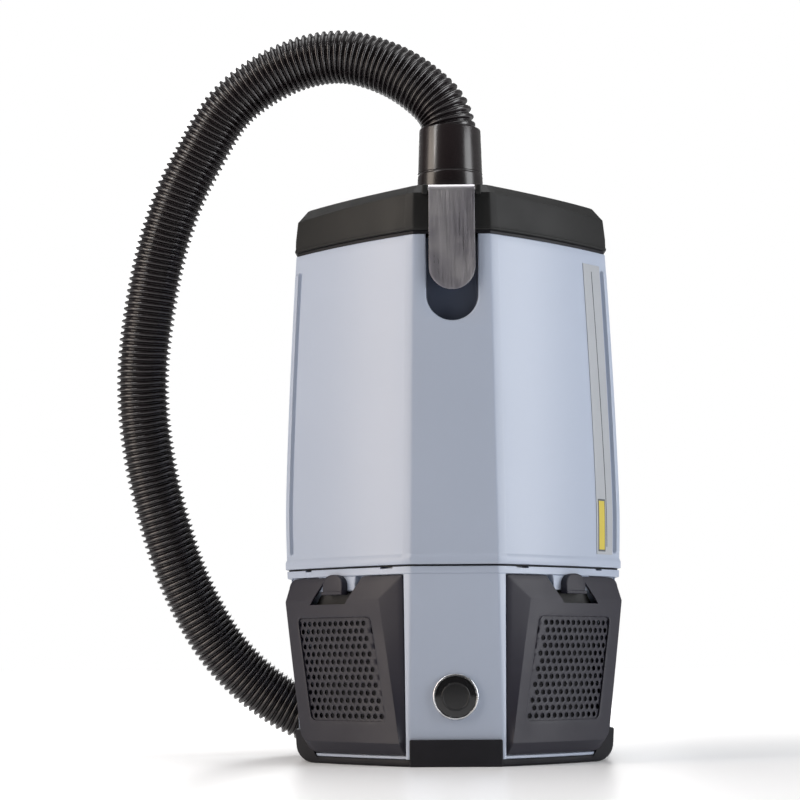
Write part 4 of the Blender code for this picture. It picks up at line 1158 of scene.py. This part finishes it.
def build_latch():
    """Steel tongue with a round end, curled over its pin at the top."""
    half_wide = (LATCH[1][0] - LATCH[0][0]) / 2
    bottom = LATCH[0][2]
    middle_y = LATCH[0][1] + 0.00075
    rows = []
    for k in range(1, 15):
        angle = (k / 14) * pi / 2
        rows.append((middle_y, bottom + half_wide * (1 - cos(angle)), half_wide * sin(angle)))
    bend = LATCH_AXIS_Z - 0.0026
    for k in range(1, 13):
        z = bottom + half_wide + (bend - bottom - half_wide) * k / 12
        rows.append((middle_y, z, half_wide))
    curl = LATCH_AXIS_Y - middle_y
    for k in range(1, 21):
        angle = pi - k * radians(12)
        if angle > pi / 2:
            middle_z, tall = bend, LATCH_AXIS_Z + curl - bend
        else:
            middle_z, tall = LATCH_AXIS_Z, curl
        rows.append((LATCH_AXIS_Y + curl * cos(angle), middle_z + tall * sin(angle), half_wide))
    bm = bmesh.new()
    grid = [[bm.verts.new((half * (2 * c / 16 - 1), y, z)) for c in range(17)] for y, z, half in rows]
    for lower, upper in zip(grid, grid[1:]):
        for c in range(16):
            bm.faces.new((lower[c], lower[c + 1], upper[c + 1], upper[c]))
    plate = finish_mesh("latch_tongue", bm, STEEL, "latch", 60)
    solid = plate.modifiers.new("Thickness", "SOLIDIFY")
    solid.thickness = 0.0015
    solid.offset = 0.0
    round_bevel(plate, 0.0004, 3, 50)
    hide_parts("latch_plate")
    nose = box_piece("latch_nose", (-0.008, middle_y, 0.3970), (0.008, FRONT_Y + 0.0042, 0.4000), STEEL,
                     "latch",
                     0.0006, 2)


build_tank()
build_housing()
build_bumper()
build_covers()
build_badge()
build_label()
build_lid()
build_latch()


# ---- Harness -------------------------------------------------------------------------------------
PLATE_BACK = PLATE[1][1]
SCREW_PLACES = [(-0.084, 0.138), (0.084, 0.138), (-0.084, 0.413), (0.084, 0.413)]


def build_harness_plate():
    """Stiff plate on the body's back, with two rows of slots, holes for its screws, and the screws' heads.
    """
    low, high = PLATE
    plate = box_piece("harness_plate_moulded", low, high, PLATE_BLACK, "body", 0.003, 4)
    tools = []
    for x, z in SCREW_PLACES:
        tools.append(lathe("screw_hole_guide", [(0.0, 0.18 + FRONT_Y), (0.0026, 0.18 + FRONT_Y),
                                                (0.0026, 0.21 + FRONT_Y), (0.0, 0.21 + FRONT_Y)],
                           (x, 0.0, z), PLATE_BLACK, None, "Y", 24, closed=False))
    for side in (-1, 1):
        for k in range(5):
            z = 0.185 + k * 0.044
            x0, x1 = sorted((side * 0.0830, side * 0.0895))
            tools.append(box_piece("plate_slot_guide", (x0, low[1] - 0.01, z),
                                   (x1, high[1] + 0.01, z + 0.026),
                                   PLATE_BLACK, None, 0.0028, 3))
    cut(plate, tools)
    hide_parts("harness_plate")
    for number, (x, z) in enumerate(SCREW_PLACES, 1):
        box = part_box("plate_screw_%d" % number)
        head = PLATE_BACK + 0.0003
        profile = [(0.0, box[0][1]), (0.0021, box[0][1]), (0.0021, head), (0.0048, head),
                   (0.0050, head + 0.0003),
                   (0.0050, head + 0.0009), (0.0044,
                                             head + 0.0018), (0.0034,
                                                              head + 0.0024), (0.0024, head + 0.0026),
                   (0.0, head + 0.0026)]
        screw = lathe("plate_screw_head_%d" % number, profile, (x, 0.0, z), SCREW, "body", "Y", 48,
                      closed=False)
        arms = [box_piece("screw_drive_guide", (x - a, head + 0.0010, z - b), (x + a, head + 0.0040, z + b),
                          SCREW, None)
                for a, b in ((0.0021, 0.00045), (0.00045, 0.0021))]
        cut(screw, arms)
        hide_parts("plate_screw_%d" % number)


def strap_rows(route, across, spacing):
    """Rows of (centre, across, outward, tangent) along a strap's route."""
    line = smooth_route([(x, y + FRONT_Y, z) for x, y, z in route], spacing)
    rows = []
    for i, point in enumerate(line):
        ahead = line[min(i + 1, len(line) - 1)]
        behind = line[max(i - 1, 0)]
        tangent = (ahead - behind).normalized()
        sideways = (across - tangent * across.dot(tangent)).normalized()
        rows.append((point, sideways, tangent.cross(sideways).normalized(), tangent))
    return rows


def end_narrowing(end):
    """How wide a strap is near its rounded end, where end runs from 0 to 1."""
    return 1.0 if end >= 1.0 else 0.72 + 0.28 * sqrt(max(0.0, 1 - (1 - end) ** 2))


def pillow(name, rows, width, thickness):
    """The closed form of a padded strip with rounded ends, before it is inflated."""
    bm = bmesh.new()
    rings = []
    count = len(rows)
    for i, (point, sideways, outward, _) in enumerate(rows):
        end = min(i, count - 1 - i) / 4.0
        half = width / 2 * end_narrowing(end)
        thick = thickness / 2 * (0.75 + 0.25 * min(1.0, end))
        ring = []
        for k in range(28):
            angle = 2 * pi * k / 28
            c, s = cos(angle), sin(angle)
            reach = half * (abs(c) ** 0.55) * (1 if c > 0 else -1)
            rise = thick * (abs(s) ** 0.75) * (1 if s > 0 else -1)
            ring.append(point + sideways * reach + outward * rise)
        rings.append(ring)
    add_rings(bm, rings)
    return finish_mesh(name, bm, PAD_MESH, "body", 180)


def inflate(obj, pressure, cap, voxel=0.005, frames=14, pins=None):
    """Remesh the piece, swell it as sealed cloth, cap how far points go, and freeze the result."""
    remesh = obj.modifiers.new("Remesh", "REMESH")
    remesh.mode = "VOXEL"
    remesh.voxel_size = voxel
    graph = bpy.context.evaluated_depsgraph_get()
    mesh = bpy.data.meshes.new_from_object(obj.evaluated_get(graph))
    obj.modifiers.clear()
    obj.data = mesh
    start = [v.co.copy() for v in mesh.vertices]
    if pins is not None:
        group = obj.vertex_groups.new(name="held")
        for v in mesh.vertices:
            weight = pins(v.co)
            if weight > 0:
                group.add([v.index], weight, "REPLACE")
    cloth = obj.modifiers.new("Cloth", "CLOTH")
    cloth.settings.quality = 4
    cloth.settings.mass = 0.25
    cloth.settings.tension_stiffness = 18
    cloth.settings.compression_stiffness = 18
    cloth.settings.bending_stiffness = 0.6
    cloth.settings.use_pressure = True
    cloth.settings.uniform_pressure_force = pressure
    cloth.settings.effector_weights.gravity = 0.0
    cloth.collision_settings.use_collision = False
    if pins is not None:
        cloth.settings.vertex_group_mass = "held"
    scene = bpy.context.scene
    for number in range(1, frames + 1):
        scene.frame_set(number)
    graph = bpy.context.evaluated_depsgraph_get()
    result = bpy.data.meshes.new_from_object(obj.evaluated_get(graph))
    obj.modifiers.clear()
    for vertex, before in zip(result.vertices, start):
        move = vertex.co - before
        if move.length > cap:
            vertex.co = before + move.normalized() * cap
    obj.data = result
    scene.frame_set(1)
    result.shade_smooth()


def tube_loop(name, points, radius, sides=8):
    """Piping: a thin tube round a closed line of points."""
    bm = bmesh.new()
    rings = []
    count = len(points)
    previous = None
    for i, point in enumerate(points):
        tangent = (points[(i + 1) % count] - points[i - 1]).normalized()
        if previous is None:
            previous = tangent.orthogonal().normalized()
        previous = (previous - tangent * previous.dot(tangent)).normalized()
        other = tangent.cross(previous)
        rings.append([point + previous * (radius * cos(2 * pi * k / sides)) + other
                      * (radius * sin(2 * pi * k / sides))
                      for k in range(sides)])
    # The frame turns on its way round, so the last ring meets the first a few sides further on.
    shift = min(range(sides), key=lambda s: (rings[-1][s] - rings[0][0]).length)
    rows = add_rings(bm, rings, cap=False)
    for i in range(sides):
        j = (i + 1) % sides
        bm.faces.new((rows[-1][(i + shift) % sides], rows[-1][(j + shift) % sides], rows[0][j], rows[0][i]))
    return finish_mesh(name, bm, PIPING, "body", 180)


def stitches(name, line, normal_of, length=0.0032, gap=0.0016, radius=0.00028):
    """A run of separate stitches along a line of points, each a small rounded bar of thread."""
    bm = bmesh.new()
    travelled = 0.0
    start = line[0]
    for a, b in zip(line, line[1:]):
        travelled += (b - a).length
        if travelled < length + gap:
            continue
        travelled = 0.0
        direction = (b - start).normalized()
        outward = normal_of(start)
        side = direction.cross(outward).normalized()
        ends = (start, start + direction * length)
        rings = []
        for t, size in ((0.0, 0.4), (0.12, 1.0), (0.88, 1.0), (1.0, 0.4)):
            centre = ends[0].lerp(ends[1], t) + outward * (radius * 0.4)
            rings.append([centre + side * (radius * size * cos(2 * pi * k / 6)) + outward
                          * (radius * size * sin(2 * pi * k / 6))
                          for k in range(6)])
        add_rings(bm, rings)
        start = b
    return finish_mesh(name, bm, STITCH, "body", 180)


def soft_strap(name, route, across, width, thickness, node):
    """A padded strap with mesh faces, sewn edge binding and a row of stitches inside each edge."""
    rows = strap_rows(route, across, 0.006)
    pad = pillow(name, rows, width * 0.95, thickness * 0.78)
    inflate(pad, 3.0, 0.0016, 0.0042, 10)
    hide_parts(node)
    count = len(rows)
    loop = []
    for sign, order in ((1, range(count)), (-1, range(count - 1, -1, -1))):
        for i in order:
            point, sideways, _, tangent = rows[i]
            end = min(i, count - 1 - i) / 4.0
            loop.append(point + sideways * (sign * (width / 2 * end_narrowing(end) - 0.0006)))
    binding = tube_loop(name + "_binding", loop, 0.0019)
    for sign in (1, -1):
        for face in (1, -1):
            line = []
            inner = rows[4:-4]
            for point, sideways, outward, _ in inner:
                line.append(point + sideways * (sign * (width / 2 - 0.0060)) + outward
                            * (face * thickness * 0.40))
            fine = []
            for a, b in zip(line, line[1:]):
                fine += [a.lerp(b, t / 6) for t in range(6)]
            outwards = inner[len(inner) // 2][2] * face
            seam = stitches("%s_stitches_%s_%s" % (name, "in" if sign > 0 else "out",
                                                   "a" if face > 0 else "b"), fine,
                            lambda p, o=outwards: o)


def flat_strap(name, route, across, width, thickness, node):
    """Woven webbing: a flat band with thick rolled edges."""
    rows = strap_rows(route, across, 0.004)
    half = width / 2
    thin = thickness / 2
    shape = [(-half, -thin * 0.4), (-half + 0.0008, -thin), (-half + 0.0022, -thin * 0.82),
             (0.0, -thin * 0.86),
             (half - 0.0022, -thin * 0.82), (half - 0.0008, -thin), (half, -thin * 0.4),
             (half, thin * 0.4), (half - 0.0008, thin), (half - 0.0022, thin * 0.82), (0.0, thin * 0.86),
             (-half + 0.0022, thin * 0.82), (-half + 0.0008, thin), (-half, thin * 0.4)]
    rings = [[point + sideways * a + outward * b for a, b in shape] for point, sideways, outward, _ in rows]
    band = loft(name, rings, WEBBING, "body", smooth_angle=50)
    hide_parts(node)


QUILT_COLUMN = 0.0265        # the back pad's sewn lines: this far either side of its middle
QUILT_ROW = 0.060            # and this far above and below its centre


def build_back_pad():
    """Lumbar pad: two swelled columns with a sewn channel between, and edge piping."""
    low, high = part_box("back_pad")
    wide = (high[0] - low[0]) / 2
    tall = (high[2] - low[2]) / 2
    centre_z = (high[2] + low[2]) / 2
    back = low[1]
    depth = high[1] - low[1]
    bm = bmesh.new()
    rings = []
    steps = 64
    for y, size in ((0.0, 0.955), (0.002, 0.985), (0.30, 0.985), (0.62, 0.95), (0.80, 0.86)):
        ring = []
        for k in range(steps):
            angle = 2 * pi * k / steps
            c, s = cos(angle), sin(angle)
            x = wide * size * (abs(c) ** 0.36) * (1 if c > 0 else -1)
            z = centre_z + tall * size * (abs(s) ** 0.30) * (1 if s > 0 else -1)
            ring.append(Vector((x, back + depth * y, z)))
        rings.append(ring)
    add_rings(bm, rings)
    pad = finish_mesh("back_pad_sewn", bm, PAD_MESH, "body", 180)
    inflate(pad, 3.0, 0.0040, 0.0048, 14, lambda co: 1.0 if co.y < back + 0.002 else 0.0)
    # The sewn channels come after the swelling, pressed into its face.
    for vertex in pad.data.vertices:
        co = vertex.co
        if co.y < back + depth * 0.35:
            continue
        press = 0.0
        for line_x in (-QUILT_COLUMN, QUILT_COLUMN):
            press = max(press, 0.0070 * max(0.0, 1 - abs(co.x - line_x) / 0.0075) ** 1.3)
        share = 1.0 if abs(co.x) > QUILT_COLUMN else 0.35
        for line_z in (centre_z - QUILT_ROW, centre_z, centre_z + QUILT_ROW):
            press = max(press, 0.0055 * max(0.0, 1 - abs(co.z - line_z) / 0.0070) ** 1.3 * share)
        co.y = max(back + 0.004, min(high[1], co.y) - press)
    smooth = pad.modifiers.new("Subdivision", "SUBSURF")
    smooth.levels = smooth.render_levels = 1
    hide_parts("back_pad")
    loop = []
    for k in range(160):
        angle = 2 * pi * k / 160
        c, s = cos(angle), sin(angle)
        loop.append(Vector((wide * 0.985 * (abs(c) ** 0.36) * (1 if c > 0 else -1), back + 0.0045,
                            centre_z + tall * 0.985 * (abs(s) ** 0.30) * (1 if s > 0 else -1))))
    piping = tube_loop("back_pad_piping", loop, 0.0021)


def build_straps():
    """Shoulder straps, their slides and webbing, hip wings and belt webbing."""
    face = PLATE_BACK - FRONT_Y + 0.0003
    for side, word in ((-1, "left"), (1, "right")):
        route = [(side * 0.048, face + 0.0065, 0.4080), (side * 0.049, face + 0.020, 0.4270),
                 (side * 0.051, face + 0.045, 0.4340), (side * 0.054, face + 0.068, 0.4140),
                 (side * 0.057, face + 0.080, 0.3740), (side * 0.061, face + 0.083, 0.3300),
                 (side * 0.066, face + 0.078, 0.2880)]
        soft_strap("shoulder_strap_" + word, route, Vector((1, 0, 0)), 0.052, 0.012, "shoulder_pad_" + word)
        x, y, z = route[-1]
        low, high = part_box("strap_adjuster_" + word)
        adjuster = box_piece("strap_slide_" + word, low, high, BUCKLE, "body", 0.0016, 3)
        middle = (low[2] + high[2]) / 2
        tools = []
        for z0, z1 in ((low[2] + 0.0045, middle - 0.0018), (middle + 0.0018, high[2] - 0.0045)):
            tools.append(box_piece("slide_slot_guide", (low[0] + 0.0042, low[1] - 0.01, z0),
                                   (high[0] - 0.0042, high[1] + 0.01, z1), BUCKLE, None, 0.0012, 2))
        cut(adjuster, tools)
        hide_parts("strap_adjuster_" + word)
        for k in range(5):
            rib = box_piece("slide_rib_%s_%d" % (word, k),
                            (low[0] + 0.006, high[1] - 0.0004, middle - 0.0016 + k * 0.0008),
                            (high[0] - 0.006, high[1] + 0.0003,
                             middle - 0.0013 + k * 0.0008), BUCKLE, "body", 0.0001, 1)
        web = [(x, y - 0.001, z - 0.0270), (side * 0.071, face + 0.066, 0.2400),
               (side * 0.0765, face + 0.046, 0.2200), (side * 0.080, face + 0.0285, 0.2140)]
        flat_strap("strap_webbing_band_" + word, web, Vector((1, 0, 0)), 0.025, 0.0020,
                   "strap_webbing_" + word)
        wing = [(side * 0.0905, face + 0.0080, 0.1500), (side * 0.1060, face + 0.0200, 0.1500),
                (side * 0.1130, face + 0.0450, 0.1500), (side * 0.1080, face + 0.0720, 0.1500),
                (side * 0.0900, face + 0.0930, 0.1500)]
        soft_strap("hip_wing_" + word, wing, Vector((0, 0, 1)), 0.084, 0.012, "hip_pad_" + word)
        web = [(side * 0.0862, face + 0.0965, 0.1500), (side * 0.0700, face + 0.1040, 0.1500),
               (side * 0.0480, face + 0.1080, 0.1500), (side * 0.0290, face + 0.1090, 0.1500)]
        flat_strap("belt_webbing_band_" + word, web, Vector((0, 0, 1)), 0.038, 0.0020,
                   "belt_webbing_" + word)


def build_buckle():
    """Side-release buckle: each half with a slot for its webbing; a socket with side windows and a plug with
    a groove.
    """
    for side, word in ((-1, "left"), (1, "right")):
        low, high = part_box("belt_buckle_" + word)
        half = box_piece("belt_clip_" + word, low, high, BUCKLE, "body", 0.0022, 4)
        tools = []
        far = high[0] if side > 0 else low[0]
        near = low[0] if side > 0 else high[0]
        x0, x1 = sorted((far - side * 0.0075, far - side * 0.0040))
        tools.append(box_piece("belt_slot_guide", (x0, low[1] - 0.01, low[2] + 0.004),
                               (x1, high[1] + 0.01, high[2] - 0.004),
                               BUCKLE, None, 0.0008, 2))
        if side > 0:
            for z0, z1 in ((low[2] - 0.002, low[2] + 0.0055), (high[2] - 0.0055, high[2] + 0.002)):
                x0, x1 = sorted((near + side * 0.006, near + side * 0.0175))
                tools.append(box_piece("buckle_window_guide", (x0, low[1] + 0.0022, z0),
                                       (x1, high[1] - 0.0022, z1),
                                       BUCKLE, None, 0.0008, 2))
        else:
            x0, x1 = sorted((near + side * 0.0025, near + side * 0.0040))
            tools.append(box_piece("buckle_groove_guide", (x0, high[1] - 0.0007, low[2] - 0.01),
                                   (x1, high[1] + 0.01, high[2] + 0.01), BUCKLE, None))
        cut(half, tools)
        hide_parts("belt_buckle_" + word)


build_harness_plate()
build_back_pad()
build_straps()
build_buckle()


# ---- Filters inside the body ---------------------------------------------------------------------
def even_loop(points, count):
    """A closed loop again, with evenly spaced points."""
    sides = [(b - a).length for a, b in zip(points, points[1:] + points[:1])]
    step = sum(sides) / count
    loop = []
    index = 0
    passed = 0.0
    for k in range(count):
        while passed + sides[index] < k * step:
            passed += sides[index]
            index += 1
        after = points[(index + 1) % len(points)]
        loop.append(points[index].lerp(after, (k * step - passed) / sides[index]))
    return loop


def creased(points, depth, scale, pleats=0):
    """A loop pushed in and out by soft creases and, for folded paper, by upright pleats."""
    result = []
    count = len(points)
    for k, point in enumerate(points):
        out = Vector((point.x, point.y - CENTRE_Y, 0.0)).normalized()
        push = noise.noise(point * scale) + 0.5 * noise.noise(point * scale * 2.6)
        if pleats:
            push -= 0.9 * (1.0 - abs(2.0 * ((k * pleats / count) % 1.0) - 1.0)) ** 3
        result.append(point + out * (depth * push))
    return result


def soft_ring(z, amount, count, depth, scale, pleats=0):
    """The body's outline drawn in by amount at height z, evenly spaced and creased."""
    return creased(even_loop(shrink(body_outline(z, facet=False), amount, z), count), depth, scale, pleats)


def build_filters():
    """Cloth liner with a sewn hem, a folded paper bag in it and the foam dome below."""
    foot, top = CLOTH_BOX[0][2], CLOTH_BOX[1][2]
    rings = []
    for z, amount in ((foot, 0.030), (foot + 0.0012, 0.0255), (foot + 0.0050, 0.0215),
                      (foot + 0.012, 0.0200)):
        rings.append(soft_ring(z, amount, 180, 0.0008, 24.0))
    for k in range(1, 25):
        z = foot + 0.012 + (top - 0.026 - foot) * k / 24
        rings.append(soft_ring(z, 0.0196, 180, 0.0014, 24.0))
    hem = top - 0.0125
    for z, amount in ((hem, 0.0196), (hem + 0.0004, 0.0188), (top - 0.0012, 0.0188), (top - 0.0003, 0.0191),
                      (top, 0.0198), (top - 0.0004, 0.0205), (top - 0.016, 0.0209)):
        rings.append(soft_ring(z, amount, 180, 0.0005, 24.0))
    for k in range(1, 7):
        z = top - 0.016 - (top - 0.026 - foot) * k / 6
        rings.append(soft_ring(z, 0.0218, 180, 0.0010, 24.0))
    liner = loft("cloth_liner", rings, CLOTH, "body")
    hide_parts("cloth_filter")
    for number, z in enumerate((hem + 0.0016, top - 0.0028)):
        seam = soft_ring(z, 0.0187, 720, 0.0005, 24.0)
        thread = stitches("liner_stitch_%d" % (number + 1), seam,
                          lambda p: Vector((p.x, p.y - CENTRE_Y, 0.0)).normalized())
    low, high = BAG_BOX[0][2], BAG_BOX[1][2]
    rings = []
    for part, amount in ((0.0, 0.044), (0.02, 0.036), (0.06, 0.0305), (0.12, 0.0290)):
        z = low + (high - low) * part
        rings.append(soft_ring(z, amount, 240, 0.0010, 20.0, 30))
    for k in range(1, 19):
        z = low + (high - low) * (0.12 + 0.76 * k / 18)
        amount = 0.0290 - 0.0016 * sin(pi * k / 18)
        rings.append(soft_ring(z, amount, 240, 0.0013, 20.0, 30))
    for part, amount in ((0.94, 0.0300), (0.975, 0.0340), (0.992, 0.0400), (0.999, 0.050), (1.0, 0.060)):
        z = low + (high - low) * part
        rings.append(soft_ring(z, amount, 240, 0.0008, 20.0, 30))
    bag = loft("paper_bag", rings, PAPER, "body", smooth_angle=50)
    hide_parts("filter_bag")
    low, high = DOME_BOX[0][2], DOME_BOX[1][2]
    tall = high - low
    curve = [(0.0560, 0.0), (0.0562, 0.05), (0.0545, 0.22), (0.0520, 0.42), (0.0480, 0.60), (0.0420, 0.75),
             (0.0350, 0.86), (0.0260, 0.94), (0.0150, 0.985), (0.0010, 1.0)]
    outer = [(radius, low + tall * part) for radius, part in curve]
    under = [(max(0.0010, radius - 0.0070), low + max(0.0, tall * part - 0.0075)) for radius, part in curve]
    dome = lathe("foam_dome", under + outer[::-1], (0.0, CENTRE_Y, 0.0), FOAM, "body", segments=96)
    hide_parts("motor_filter")


build_filters()

# ---- Finishes of the parts kept from the CAD model -----------------------------------------------
KEPT = {
    "housing_seal": RUBBER, "lid_seal": RUBBER, "latch_keeper": STEEL, "exhaust_filter_left": FOAM,
    "exhaust_filter_right": FOAM, "motor_foot": RUBBER, "motor_housing": PLATE_BLACK, "motor_stator": COPPER,
    "motor_bracket": MOTOR_METAL, "motor_seal": RUBBER, "bearing_lower": SCREW, "bearing_upper": SCREW,
    "carbon_brush_left": CARBON, "carbon_brush_right": CARBON, "motor_rotor": MOTOR_METAL,
    "fan_impeller": MOTOR_METAL, "bag_collar": PAPER, "mains_gland": RUBBER, "switch_gland": RUBBER,
    "swivel_collar": MOTOR_METAL, "latch_pin": SCREW,
}
for node_name, finish in KEPT.items():
    for material_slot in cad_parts[node_name].material_slots:
        material_slot.material = finish


# ---- Stage ---------------------------------------------------------------------------------------
WORLD_LEVEL = (0.02, 0.28)   # straight in front of the object, and from its sides back
# The floor's glow is lower near the object, a painted shadow under it; far away it is the white floor.
FLOOR_GLOW_AND_PAINTED_SHADOW = (0.10, 0.80)    # near the object, and far away
FLOOR_SPILL = 0.28           # how much of that glow lights the object
# Name, place, size, watts and colour.
LIGHTS = [
    ("left_softbox", (-1.84, -0.72, 0.75), (0.9, 1.8), 24.0, (1.0, 0.88, 0.77)),
    ("right_softbox", (1.85, -0.68, 0.70), (0.9, 1.8), 28.0, (0.97, 0.98, 1.0)),
    ("top_softbox", (0.0, 0.10, 2.10), (1.6, 1.2), 14.0, (1.0, 1.0, 1.0)),
    ("strip_light", (-1.05, -0.75, 1.55), (0.16, 1.0), 6.0, (1.0, 0.99, 0.98)),
    ("back_softbox", (-0.3, 1.9, 1.10), (1.6, 1.2), 20.0, (1.0, 1.0, 1.0)),
]


def build_stage():
    """Pale floor with a painted shadow near the object, white surroundings and soft studio lights."""
    scene = bpy.context.scene
    scene.view_settings.view_transform = "Standard"
    bm = bmesh.new()
    bmesh.ops.create_grid(bm, x_segments=1, y_segments=1, size=12.0)
    floor = finish_mesh("studio_floor", bm, None, None)
    mat = bpy.data.materials.new("floor_white")
    mat.use_nodes = True
    shader = mat.node_tree.nodes["Principled BSDF"]
    shader.inputs["Base Color"].default_value = (0.86, 0.86, 0.87, 1.0)
    shader.inputs["Roughness"].default_value = 0.30
    shader.inputs["Emission Color"].default_value = (1.0, 1.0, 1.0, 1.0)
    nodes = mat.node_tree.nodes
    links = mat.node_tree.links
    reach = nodes.new("ShaderNodeVectorMath")
    reach.operation = "LENGTH"
    # Dimmer near the object: a painted shadow on the floor.
    glow_and_painted_shadow = nodes.new("ShaderNodeMapRange")
    glow_and_painted_shadow.inputs["From Min"].default_value = 0.22
    glow_and_painted_shadow.inputs["From Max"].default_value = 1.5
    glow_and_painted_shadow.inputs["To Min"].default_value = FLOOR_GLOW_AND_PAINTED_SHADOW[0]
    glow_and_painted_shadow.inputs["To Max"].default_value = FLOOR_GLOW_AND_PAINTED_SHADOW[1]
    links.new(nodes.new("ShaderNodeTexCoord").outputs["Object"], reach.inputs[0])
    links.new(reach.outputs["Value"], glow_and_painted_shadow.inputs["Value"])
    spill = nodes.new("ShaderNodeMapRange")         # the floor looks white but lights the object less
    spill.inputs["To Min"].default_value = FLOOR_SPILL
    links.new(nodes.new("ShaderNodeLightPath").outputs["Is Camera Ray"], spill.inputs["Value"])
    shown = nodes.new("ShaderNodeMath")
    shown.operation = "MULTIPLY"
    links.new(glow_and_painted_shadow.outputs["Result"], shown.inputs[0])
    links.new(spill.outputs["Result"], shown.inputs[1])
    links.new(shown.outputs["Value"], shader.inputs["Emission Strength"])
    floor.data.materials.append(mat)
    world = bpy.data.worlds.new("Studio")
    scene.world = world
    world.use_nodes = True
    tree = world.node_tree
    back = tree.nodes["Background"]
    path = tree.nodes.new("ShaderNodeLightPath")
    split = tree.nodes.new("ShaderNodeSeparateXYZ")
    tree.links.new(tree.nodes.new("ShaderNodeTexCoord").outputs["Generated"], split.inputs["Vector"])
    dim = tree.nodes.new("ShaderNodeMapRange")      # the room is darker in front of the object
    dim.inputs["From Min"].default_value = -1.0
    dim.inputs["From Max"].default_value = 0.0
    dim.inputs["To Min"].default_value = WORLD_LEVEL[0]
    dim.inputs["To Max"].default_value = WORLD_LEVEL[1]
    tree.links.new(split.outputs["Y"], dim.inputs["Value"])
    level = tree.nodes.new("ShaderNodeMix")
    level.inputs[3].default_value = 1.0
    tree.links.new(path.outputs["Is Camera Ray"], level.inputs[0])
    tree.links.new(dim.outputs["Result"], level.inputs[2])
    tree.links.new(level.outputs[0], back.inputs["Strength"])
    back.inputs["Color"].default_value = (1.0, 1.0, 1.0, 1.0)
    for name, place, size, power, colour in LIGHTS:
        data = bpy.data.lights.new(name, "AREA")
        data.shape = "RECTANGLE"
        data.size, data.size_y = size
        data.energy = power
        data.color = colour
        lamp = bpy.data.objects.new(name, data)
        scene.collection.objects.link(lamp)
        lamp.location = place
        aim = Vector((0.0, 0.0, 0.26)) - Vector(place)
        lamp.rotation_euler = aim.to_track_quat("-Z", "Y").to_euler()


build_stage()
